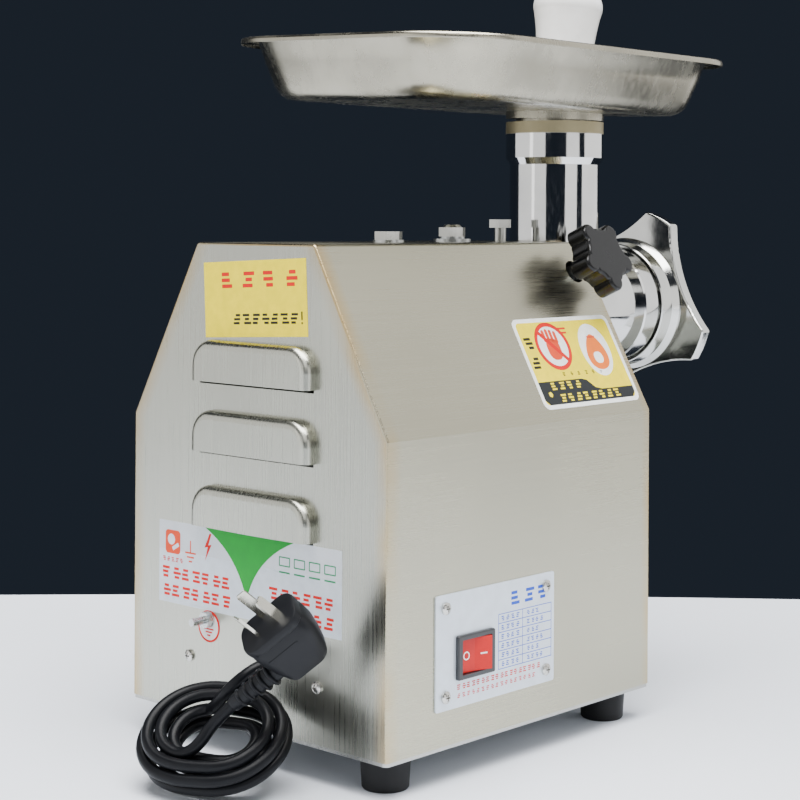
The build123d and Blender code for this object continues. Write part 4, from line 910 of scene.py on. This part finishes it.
class GRINDER_OT_screws(bpy.types.Operator):
    """Sets the cross-recess screws of the panels and the control plate"""

    bl_idname = "grinder.screws"
    bl_label = "Panel screws"

    def execute(self, context):
        settings = housing()
        places = []
        aims = []
        for x in (-PANEL_SCREW_X, PANEL_SCREW_X):
            places += [Vector((x, BACK, PANEL_SCREW_Z)), Vector((x, FRONT, PANEL_SCREW_Z))]
            aims += [Vector((0, 1, 0)), Vector((0, -1, 0))]
        for y in (-PLATE_SCREW_Y, PLATE_SCREW_Y):
            for z in (-PLATE_SCREW_Z, PLATE_SCREW_Z):
                places.append(Vector((SIDE - PLATE_SHEET, CONTROL_Y + y, CONTROL_Z + z)))
                aims.append(Vector((-1, 0, 0)))
        inputs = {"Radius": settings.screw_radius, "Height": settings.screw_height}
        sizes = [1.0] * len(places)
        made = instanced("panel_screw_heads", places, aims, sizes, screw_tree(), inputs, "screw_steel")
        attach(made, "housing")
        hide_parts("panel_screws")
        return {"FINISHED"}


# Pan --------------------------------------------------------------------------------------------


PAN_BOTTOM = 399.0
PAN_TOP = 437.8
PAN_CENTRE_Y = FRONT + 37.0
PAN_FLOOR = (176.0, 258.0, 38.0)
PAN_CORNER = 57.0
PAN_TILT = math.radians(-2.15)
SPOUT_HOLE = 25.8


def pan_ring(stage, grow, z):
    """A loop of the pan: stage 0 is the floor's edge, 1 the wall's top, 2 the rim's edge."""
    settings = pan()
    width, length, rim = settings.width / MM, settings.length / MM, settings.rim / MM
    inside = (width - 2 * rim, length - 2 * rim, PAN_CORNER - rim)
    loops = (PAN_FLOOR, inside, (width, length, PAN_CORNER))
    low, share = min(int(stage), 1), stage - min(int(stage), 1)
    w, l, r = (a + (b - a) * share for a, b in zip(loops[low], loops[low + 1]))
    outline = rounded(0, PAN_CENTRE_Y, w + 2 * grow, l + 2 * grow, r + grow, 14)
    return [(x, y, z) for x, y in outline]


def pan_hole(outline, z):
    """The spout's hole, with a point towards each point of a loop."""
    points = []
    for x, y, _ in outline:
        toward = Vector((x, y - TUBE_Y)).normalized() * SPOUT_HOLE
        points.append((toward.x, TUBE_Y + toward.y, z))
    return points


def tilted(point):
    turn = Matrix.Rotation(PAN_TILT, 3, "Y")
    pivot = Vector((0.0, TUBE_Y, TUBE_TOP))
    return turn @ (Vector(point) - pivot) + pivot


def pan_skin(offset, lift):
    """One side of the pan's sheet, from the hole up to the top of the wall."""
    rise = PAN_TOP - PAN_BOTTOM
    rings = []
    for step in range(7):
        t = step / 6
        grow = -9.0 * (1 - t) ** 2
        stage = 0.24 * t * t
        z = PAN_BOTTOM + rise * stage + lift * (1 - t)
        rings.append(pan_ring(stage, grow + offset * t, z))
    rings.append(pan_ring(0.6, offset + 0.35, PAN_BOTTOM + rise * 0.6))
    rings.append(pan_ring(0.94, offset, PAN_BOTTOM + rise * 0.94))
    return [pan_hole(rings[0], PAN_BOTTOM + lift)] + rings


class GRINDER_OT_pan(bpy.types.Operator):
    """Presses the feed pan: rounded floor, sloping wall, flat rim with a turned edge"""

    bl_idname = "grinder.pan"
    bl_label = "Feed pan"

    def execute(self, context):
        sheet = pan().sheet / MM
        rings = pan_skin(sheet, 0.0)
        rings += [
            pan_ring(1, sheet + 0.6, PAN_TOP - sheet - 0.4),
            pan_ring(1, sheet + 2.0, PAN_TOP - sheet),
            pan_ring(2, -sheet - 1.4, PAN_TOP - sheet),
            pan_ring(2, -sheet - 0.4, PAN_TOP - sheet - 0.5),
            pan_ring(2, -sheet, PAN_TOP - sheet - 1.4),
            pan_ring(2, -sheet, PAN_TOP - 3.9),
            pan_ring(2, -0.2, PAN_TOP - 4.0),
            pan_ring(2, 0.0, PAN_TOP - 3.6),
            pan_ring(2, 0.0, PAN_TOP - 1.8),
            pan_ring(2, -0.5, PAN_TOP - 0.6),
            pan_ring(2, -1.6, PAN_TOP),
            pan_ring(1, 2.6, PAN_TOP),
            pan_ring(1, 0.9, PAN_TOP - 0.5),
            pan_ring(1, 0.1, PAN_TOP - 1.6),
        ]
        rings += reversed(pan_skin(0.0, sheet))
        shape = Shape()
        shape.skin([[tilted(p) for p in ring] for ring in rings], "pan_steel", closed=True)
        made = shape.piece("feed_pan_pressed", "feed_pan", 50.0)
        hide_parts("feed_pan")
        return {"FINISHED"}


# Labels and controls ----------------------------------------------------------------------------


def rear_label():
    shape = Shape()
    place = rear_place(-1.0, 275.9, 2.9)
    shape.slab(place, bar(0, 0, 89.0, 45.5), 0.0, 0.2, "yellow_print")
    dashes(shape, place, -24.0, 11.5, 4, 18.6, 10.0, "ink_red", 0.2)
    dashes(shape, place, -15.5, -12.0, 7, 8.2, 6.6, "ink_dark", 0.2, 5)
    shape.slab(place, bar(40.0, -10.6, 1.2, 5.0), 0.2, 0.22, "ink_dark")
    shape.slab(place, bar(40.0, -14.8, 1.2, 1.2), 0.2, 0.22, "ink_dark")
    return shape


def triangle_outline():
    """A triangle standing on its tip, with hollow flanks."""
    left, right, tip = (-36.9, 25.0), (40.9, 25.0), (0.5, -14.3)
    points = []
    for first, last, middle in (
        (left, right, (1.0, 24.4)),
        (right, tip, (8.0, 12.0)),
        (tip, left, (-8.0, 12.0)),
    ):
        for step in range(10):
            t = step / 10
            shares = ((1 - t) ** 2, 2 * t * (1 - t), t * t)
            trios = zip(first, middle, last)
            points.append(tuple(sum(w * c for w, c in zip(shares, trio)) for trio in trios))
    return points


def wiring_label():
    shape = Shape()
    place = rear_place(5.0, 110.3)
    shape.slab(place, bar(0, 0, 160.0, 50.6), 0.0, 0.16, "wiring_print")
    shape.slab(place, bar(0, 16.4, 160.0, 17.8), 0.16, 0.18, "ink_silver")
    shape.slab(place, rounded(-67.0, 12.5, 14.0, 14.5, 2.5), 0.18, 0.2, "ink_skin")
    shape.slab(place, disc(-68.5, 14.0, 3.4, 20), 0.2, 0.21, "wiring_print")
    shape.slab(place, bar(-64.5, 9.8, 6.5, 2.4, 30), 0.2, 0.21, "wiring_print")
    for k, width in enumerate((10.0, 6.6, 3.2)):
        shape.slab(place, bar(-50.5, 7.5 - 2.6 * k, width, 1.0), 0.18, 0.2, "ink_skin")
    shape.slab(place, bar(-50.5, 11.4, 1.0, 7.4), 0.18, 0.2, "ink_skin")
    bolt = [(-33.0, 21.5), (-37.5, 12.5), (-34.6, 13.2), (-37.0, 4.5)]
    bolt += [(-31.0, 15.0), (-34.0, 14.4), (-31.2, 21.5)]
    shape.slab(place, bolt, 0.18, 0.2, "ink_red")
    dashes(shape, place, -75.0, 1.6, 5, 4.0, 2.8, "ink_red", 0.18, 2)
    dashes(shape, place, -73.0, -6.5, 7, 9.2, 7.4, "ink_red", 0.18, 4)
    dashes(shape, place, -73.0, -17.6, 7, 9.2, 7.4, "ink_red", 0.18, 7)
    dashes(shape, place, 24.0, -6.5, 6, 9.2, 7.4, "ink_red", 0.18, 8)
    dashes(shape, place, 24.0, -17.6, 6, 9.2, 7.4, "ink_red", 0.18, 9)
    for k in range(4):
        x = 33.0 + 12.5 * k
        shape.slab(place, bar(x, 15.6, 8.6, 0.8), 0.18, 0.2, "ink_teal")
        shape.slab(place, bar(x, 10.6, 8.6, 0.8), 0.18, 0.2, "ink_teal")
        shape.slab(place, bar(x - 4.3, 13.1, 0.8, 5.4), 0.18, 0.2, "ink_teal")
        shape.slab(place, bar(x + 4.3, 13.1, 0.8, 5.4), 0.18, 0.2, "ink_teal")
        shape.slab(place, bar(x, 6.8, 9.0, 1.0), 0.18, 0.2, "ink_teal")
    shape.slab(place, triangle_outline(), 0.18, 0.24, "ink_green")
    return shape


def earth_label():
    shape = Shape()
    place = rear_place(38.1, 75.6)
    shape.hoop(place, (0.0, 0.0), 9.7, 8.4, 0.0, 0.22, "ink_red")
    rings = []
    for radius, lift in ((8.4, 0.0), (8.4, 0.18)):
        rings.append([place(x, y, lift) for x, y in disc(0, 0, radius, 40)])
    for radius, lift in ((5.2, 0.18), (5.2, 0.0)):
        rings.append([place(x + 0.3, y + 4.4, lift) for x, y in disc(0, 0, 3.6, 40)])
    shape.skin(rings, "earth_print", closed=True)
    for k, width in enumerate((8.6, 5.8, 3.0)):
        shape.slab(place, bar(0.0, -1.6 - 1.9 * k, width, 0.9), 0.18, 0.2, "ink_red")
    return shape


def warning_label():
    shape = Shape()
    place = slope_place(54.8, 38.2)
    shape.slab(place, rounded(0, 0, 99.0, 61.5, 5.0), 0.0, 0.14, "ink_white")
    shape.slab(place, rounded(0, 0, 93.4, 56.0, 3.6), 0.14, 0.16, "warning_print")
    dark = [(-46.7, -24.4), (-43.2, -28.0), (43.2, -28.0), (46.7, -24.4), (46.7, -20.5), (14.0, -20.5)]
    dark += [(8.0, -19.0), (2.0, -13.6), (-3.0, -12.4), (-46.7, -12.4)]
    shape.slab(place, dark, 0.16, 0.18, "ink_black")
    dashes(shape, place, -33.0, -15.8, 4, 8.2, 5.2, "warning_print", 0.18, 3)
    dashes(shape, place, -28.0, -24.0, 8, 8.0, 5.4, "warning_print", 0.18, 6)
    shape.slab(place, disc(-39.0, -21.0, 2.0, 5), 0.18, 0.2, "warning_print")
    dashes(shape, place, -18.0, -8.4, 6, 7.6, 2.6, "ink_dark", 0.16, 4)
    dashes(shape, place, -40.2, 14.0, 1, 9.0, 8.2, "ink_dark", 0.16, 2)
    dashes(shape, place, -40.2, 0.5, 1, 9.0, 8.2, "ink_dark", 0.16, 5)
    shape.slab(place, disc(-17.5, 11.0, 15.2, 40), 0.16, 0.18, "ink_white")
    shape.slab(place, rounded(-17.5, 9.0, 13.0, 15.0, 5.5), 0.18, 0.19, "ink_skin")
    for k in range(4):
        finger = rounded(-23.0 + 3.7 * k, 17.6 + 1.2 * math.sin(k + 0.6), 2.8, 8.6, 1.3)
        shape.slab(place, finger, 0.18, 0.19, "ink_skin")
    shape.hoop(place, (-17.5, 11.0), 16.6, 13.8, 0.18, 0.21, "ink_red")
    shape.slab(place, bar(-17.5, 11.0, 28.6, 2.9, -45), 0.19, 0.2, "ink_red")
    shape.slab(place, bar(-3.6, 22.8, 10.0, 1.3), 0.16, 0.18, "ink_red")
    shape.slab(place, bar(-3.0, 19.8, 8.0, 1.3), 0.16, 0.18, "ink_red")
    plump = [(24.0 + 15.0 * x, 6.5 + 18.5 * y) for x, y in disc(0, 0, 1.0, 36)]
    shape.slab(place, plump, 0.16, 0.18, "ink_white")
    drop = [(24.0 + 9.5 * x * (1.05 - 0.35 * y), 5.0 + 12.5 * y) for x, y in disc(0, 0, 1.0, 36)]
    shape.slab(place, drop, 0.18, 0.2, "ink_orange")
    shape.slab(place, rounded(24.0, 1.0, 9.0, 8.0, 3.6), 0.2, 0.21, "ink_white")
    shape.slab(place, bar(24.0, 15.6, 8.4, 1.4), 0.2, 0.21, "ink_skin")
    return shape


def control_print():
    """Film on the control plate: ruled table, heading and rows of marks."""
    shape = Shape()
    place = side_place(CONTROL_Y, CONTROL_Z, 0.0)
    outer = rounded(0, 0, 108.5, 66.5, 1.5, 6)
    hole = rounded(-20.3, -4.8, 29.0, 21.6, 1.0, 6)
    rings = []
    for outline, lift in ((outer, 0.0), (outer, 1.0), (hole, 1.0), (hole, 0.0)):
        rings.append([place(x, y, lift) for x, y in outline])
    shape.skin(rings, "control_print", closed=True)
    dashes(shape, place, 17.0, 22.5, 3, 13.0, 8.6, "ink_blue", 1.0, 3)
    for k in range(7):
        shape.slab(place, bar(26.5, 14.6 - 5.4 * k, 50.0, 0.45), 1.0, 1.02, "ink_blue")
    for x in (1.5, 24.0, 51.5):
        shape.slab(place, bar(x, -1.6, 0.45, 32.8), 1.0, 1.02, "ink_blue")
    for k in range(6):
        dashes(shape, place, 5.5, 11.9 - 5.4 * k, 4, 4.6, 2.9, "ink_blue", 1.0, 2 + k)
        dashes(shape, place, 29.5, 11.9 - 5.4 * k, 4 if k % 2 else 3, 4.2, 2.7, "ink_blue", 1.0, 9 + k)
    dashes(shape, place, -34.0, -21.6, 18, 4.3, 3.2, "ink_red", 1.0, 4)
    dashes(shape, place, -34.0, -26.6, 17, 4.3, 2.6, "ink_red", 1.0, 5)
    return shape


def rocker_marks():
    """The off ring and the on bar, on the rocker's two sloping faces."""
    shape = Shape()

    def place(u, v, lift):
        out = ROCKER_RIDGE + abs(u) / ROCKER_HALF + lift
        along = -u * math.cos(ROCKER_TILT) + out * math.sin(ROCKER_TILT)
        away = out * math.cos(ROCKER_TILT) + u * math.sin(ROCKER_TILT)
        return (ROCKER_PIVOT - away, ROCKER_Y + along, ROCKER_Z + v)

    shape.hoop(place, (-6.6, 0.0), 2.5, 1.8, 0.0, 0.04, "ink_white")
    shape.slab(place, bar(6.6, 0.0, 4.8, 0.8), 0.0, 0.04, "ink_white")
    return shape


class GRINDER_OT_labels(bpy.types.Operator):
    """Prints the labels and the control plate, with generic marks in place of words"""

    bl_idname = "grinder.labels"
    bl_label = "Labels"

    def execute(self, context):
        for name, node, made_by, slot in (
            ("rear_label_print", "rear_label", rear_label, "yellow_print"),
            ("wiring_label_print", "wiring_label", wiring_label, "wiring_print"),
            ("earth_label_print", "earth_label", earth_label, "earth_print"),
            ("warning_label_print", "warning_label", warning_label, "warning_print"),
            ("control_plate_print", "control_plate", control_print, "control_print"),
        ):
            made = made_by().piece(name, "housing", 30.0)
            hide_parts(node)
        rocker_marks().piece("rocker_marks", "switch_rocker", 30.0)
        return {"FINISHED"}


# Finishes of the CAD nodes ----------------------------------------------------------------------


NODE_FINISHES = {
    "housing_shell": "housing_steel",
    "front_panel": "rear_panel_steel",
    "rear_panel": "rear_panel_steel",
    "base_plate": "base_steel",
    "rubber_feet": "black_rubber",
    "foot_screws": "screw_steel",
    "foot_nuts": "zinc_steel",
    "top_bolts": "bolt_steel",
    "top_washers": "zinc_steel",
    "switch_housing": "switch_black",
    "switch_rocker": "switch_red",
    "earth_stud": "zinc_steel",
    "earth_nuts": "zinc_steel",
    "lock_pad": "brass_pad",
    "lock_screw": "zinc_steel",
    "lock_knob": "knob_black",
    "head_body": "head_casting",
    "auger_bush": "bush_bronze",
    "auger_washer": "washer_fibre",
    "auger": "auger_iron",
    "knife": "knife_steel",
    "cutting_plate": "plate_steel",
    "ring_nut": "ring_casting",
    "pan_spout": "pan_steel",
    "pusher": "pusher_white",
    "cord_gland": "gland_plastic",
}
DRIVE_FINISHES = {
    "gearbox_case": "cast_aluminium",
    "bearing_plate": "cast_aluminium",
    "gearbox_cover": "cast_aluminium",
    "gearbox_screws": "zinc_steel",
    "front_bolts": "bolt_steel",
    "ball_bearings": "bearing_steel",
    "oil_seal": "seal_rubber",
    "output_shaft": "gear_steel",
    "output_gear": "gear_steel",
    "intermediate_shaft": "gear_steel",
    "intermediate_gear": "gear_steel",
    "motor_pinion": "gear_steel",
    "motor_shaft": "gear_steel",
    "rotor_core": "lamination_steel",
    "stator_core": "lamination_steel",
    "stator_windings": "copper_winding",
    "motor_frame": "motor_paint",
    "motor_end_bell": "cast_aluminium",
    "motor_fan": "fan_plastic",
    "motor_cradle": "zinc_steel",
    "motor_hanger": "zinc_steel",
    "run_capacitor": "capacitor_shell",
    "terminal_block": "terminal_plastic",
    "inner_wires": "wire_insulation",
}


def paint_nodes(table):
    for node, finish_name in table.items():
        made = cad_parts[node]
        made.data.materials.clear()
        made.data.materials.append(finish(finish_name))


class GRINDER_OT_shell(bpy.types.Operator):
    """Finishes the housing, head, switch, bolts and feet"""

    bl_idname = "grinder.shell"
    bl_label = "Housing and head"

    def execute(self, context):
        paint_nodes(NODE_FINISHES)
        return {"FINISHED"}


class GRINDER_OT_drive(bpy.types.Operator):
    """Finishes the gearbox, motor and wiring inside the housing"""

    bl_idname = "grinder.drive"
    bl_label = "Drive inside"

    def execute(self, context):
        paint_nodes(DRIVE_FINISHES)
        return {"FINISHED"}


# Stage ------------------------------------------------------------------------------------------


CAMERA_AT = Vector((-0.8034, 0.9266, 0.3239))
CAMERA_FORWARD = Vector((0.680, -0.734, 0.0005)).normalized()
CAMERA_ROLL = math.radians(0.315)
FLOOR_EDGE = 1.58
FLOOR_SIDES = 720
HOUSING_MIDDLE = (0.0, 0.1, 0.2)
HEAD_MIDDLE = (0.0, -0.1, 0.3)
SOFTBOXES = (
    ("rear_softbox", (1.5, 1.75, 0.75), HOUSING_MIDDLE, (2.4, 1.7), 17.0),
    ("side_softbox", (-1.2, -1.9, 1.0), HOUSING_MIDDLE, (3.2, 3.0), 46.0),
    ("top_softbox", (-0.3, 0.3, 2.0), (0.0, 0.1, 0.0), (1.8, 1.8), 150.0),
    ("left_softbox", (0.1, 2.2, 0.5), HEAD_MIDDLE, (1.6, 1.4), 9.0),
    ("right_softbox", (-2.1, 0.2, 0.5), HEAD_MIDDLE, (1.2, 1.4), 8.0),
    ("camera_softbox", (-1.7, 1.7, 1.7), HOUSING_MIDDLE, (1.4, 1.4), 12.0),
)


def softbox(name, place, target, size, power):
    """A large soft light that the camera doesn't see itself."""
    light = bpy.data.lights.new(name, "AREA")
    light.shape = "RECTANGLE"
    light.size, light.size_y = size
    light.energy = power * stage_settings().light
    made = bpy.data.objects.new(name, light)
    made.location = place
    made.rotation_mode = "QUATERNION"
    made.rotation_quaternion = (Vector(target) - Vector(place)).to_track_quat("-Z", "Y")
    made.visible_camera = False
    bpy.context.scene.collection.objects.link(made)


class GRINDER_OT_stage(bpy.types.Operator):
    """Sets the floor, the dark surroundings, the soft lights and the camera"""

    bl_idname = "grinder.stage"
    bl_label = "Stage"

    def execute(self, context):
        settings = stage_settings()
        cloth = Finish("floor_cloth", settings.floor, roughness=0.85)
        folds = cloth.noise((3.0, 3.0, 3.0), detail=2.0)
        tone = cloth.mixed(cloth.spread(folds, 0.3, 0.7), scaled(settings.floor, 0.93), tuple(settings.floor))
        cloth.feed(tone, "Base Color")
        cloth.relief(cloth.noise((900.0, 900.0, 900.0)), 0.1, 0.2)
        radius = settings.floor_radius
        middle = CAMERA_AT + CAMERA_FORWARD * (FLOOR_EDGE - radius)
        mesh = bpy.data.meshes.new("floor")
        edge = disc(middle.x, middle.y, radius, FLOOR_SIDES)
        mesh.from_pydata([(x, y, -0.0002) for x, y in edge], [], [tuple(range(FLOOR_SIDES))])
        mesh.materials.append(cloth.material)
        floor = bpy.data.objects.new("floor", mesh)
        context.scene.collection.objects.link(floor)
        world = bpy.data.worlds.new("surroundings")
        world.use_nodes = True
        world.node_tree.nodes["Background"].inputs["Color"].default_value = (*settings.backdrop, 1.0)
        world.node_tree.nodes["Background"].inputs["Strength"].default_value = 1.0
        context.scene.world = world
        for box in SOFTBOXES:
            softbox(*box)
        camera = bpy.data.cameras.new("camera")
        camera.lens = 82.56
        camera.sensor_width = 36.0
        camera.shift_y = -0.228
        camera.clip_start, camera.clip_end = 0.01, 50.0
        up = CAMERA_FORWARD.cross(Vector((0, 0, 1))).normalized().cross(CAMERA_FORWARD)
        right = CAMERA_FORWARD.cross(up)
        rolled = right * math.cos(CAMERA_ROLL) + up * math.sin(CAMERA_ROLL)
        turned = Matrix((rolled, (-CAMERA_FORWARD).cross(rolled), -CAMERA_FORWARD)).transposed()
        made = bpy.data.objects.new("camera", camera)
        made.matrix_world = Matrix.Translation(CAMERA_AT) @ turned.to_4x4()
        context.scene.collection.objects.link(made)
        context.scene.camera = made
        return {"FINISHED"}


# Panel and start --------------------------------------------------------------------------------


class GRINDER_PT_panel(bpy.types.Panel):
    """Lists the grinder's steps and their settings"""

    bl_idname = "GRINDER_PT_panel"
    bl_label = "Meat Grinder"
    bl_space_type = "VIEW_3D"
    bl_region_type = "UI"
    bl_category = "Grinder"

    def draw(self, context):
        for operator in OPERATORS:
            self.layout.operator(operator.bl_idname)
        for name, group in SETTINGS.items():
            box = self.layout.box()
            box.label(text=group.__name__)
            for field in group.__annotations__:
                box.prop(getattr(context.scene, name), field)


SETTINGS = {
    "grinder_housing": GrinderHousing,
    "grinder_head": GrinderHead,
    "grinder_pan": GrinderPan,
    "grinder_labels": GrinderLabels,
    "grinder_cord": GrinderCord,
    "grinder_stage": GrinderStage,
}
OPERATORS = (
    GRINDER_OT_stage,
    GRINDER_OT_shell,
    GRINDER_OT_drive,
    GRINDER_OT_screws,
    GRINDER_OT_labels,
    GRINDER_OT_pan,
    GRINDER_OT_plug,
    GRINDER_OT_cord,
)
CLASSES = (*SETTINGS.values(), *OPERATORS, GRINDER_PT_panel)


def register():
    for item in CLASSES:
        bpy.utils.register_class(item)
    for name, group in SETTINGS.items():
        setattr(bpy.types.Scene, name, PointerProperty(type=group))


def unregister():
    for name in SETTINGS:
        delattr(bpy.types.Scene, name)
    for item in reversed(CLASSES):
        bpy.utils.unregister_class(item)


def main():
    register()
    for operator in OPERATORS:
        family, name = operator.bl_idname.split(".")
        getattr(getattr(bpy.ops, family), name)()


if __name__ == "__main__":
    main()
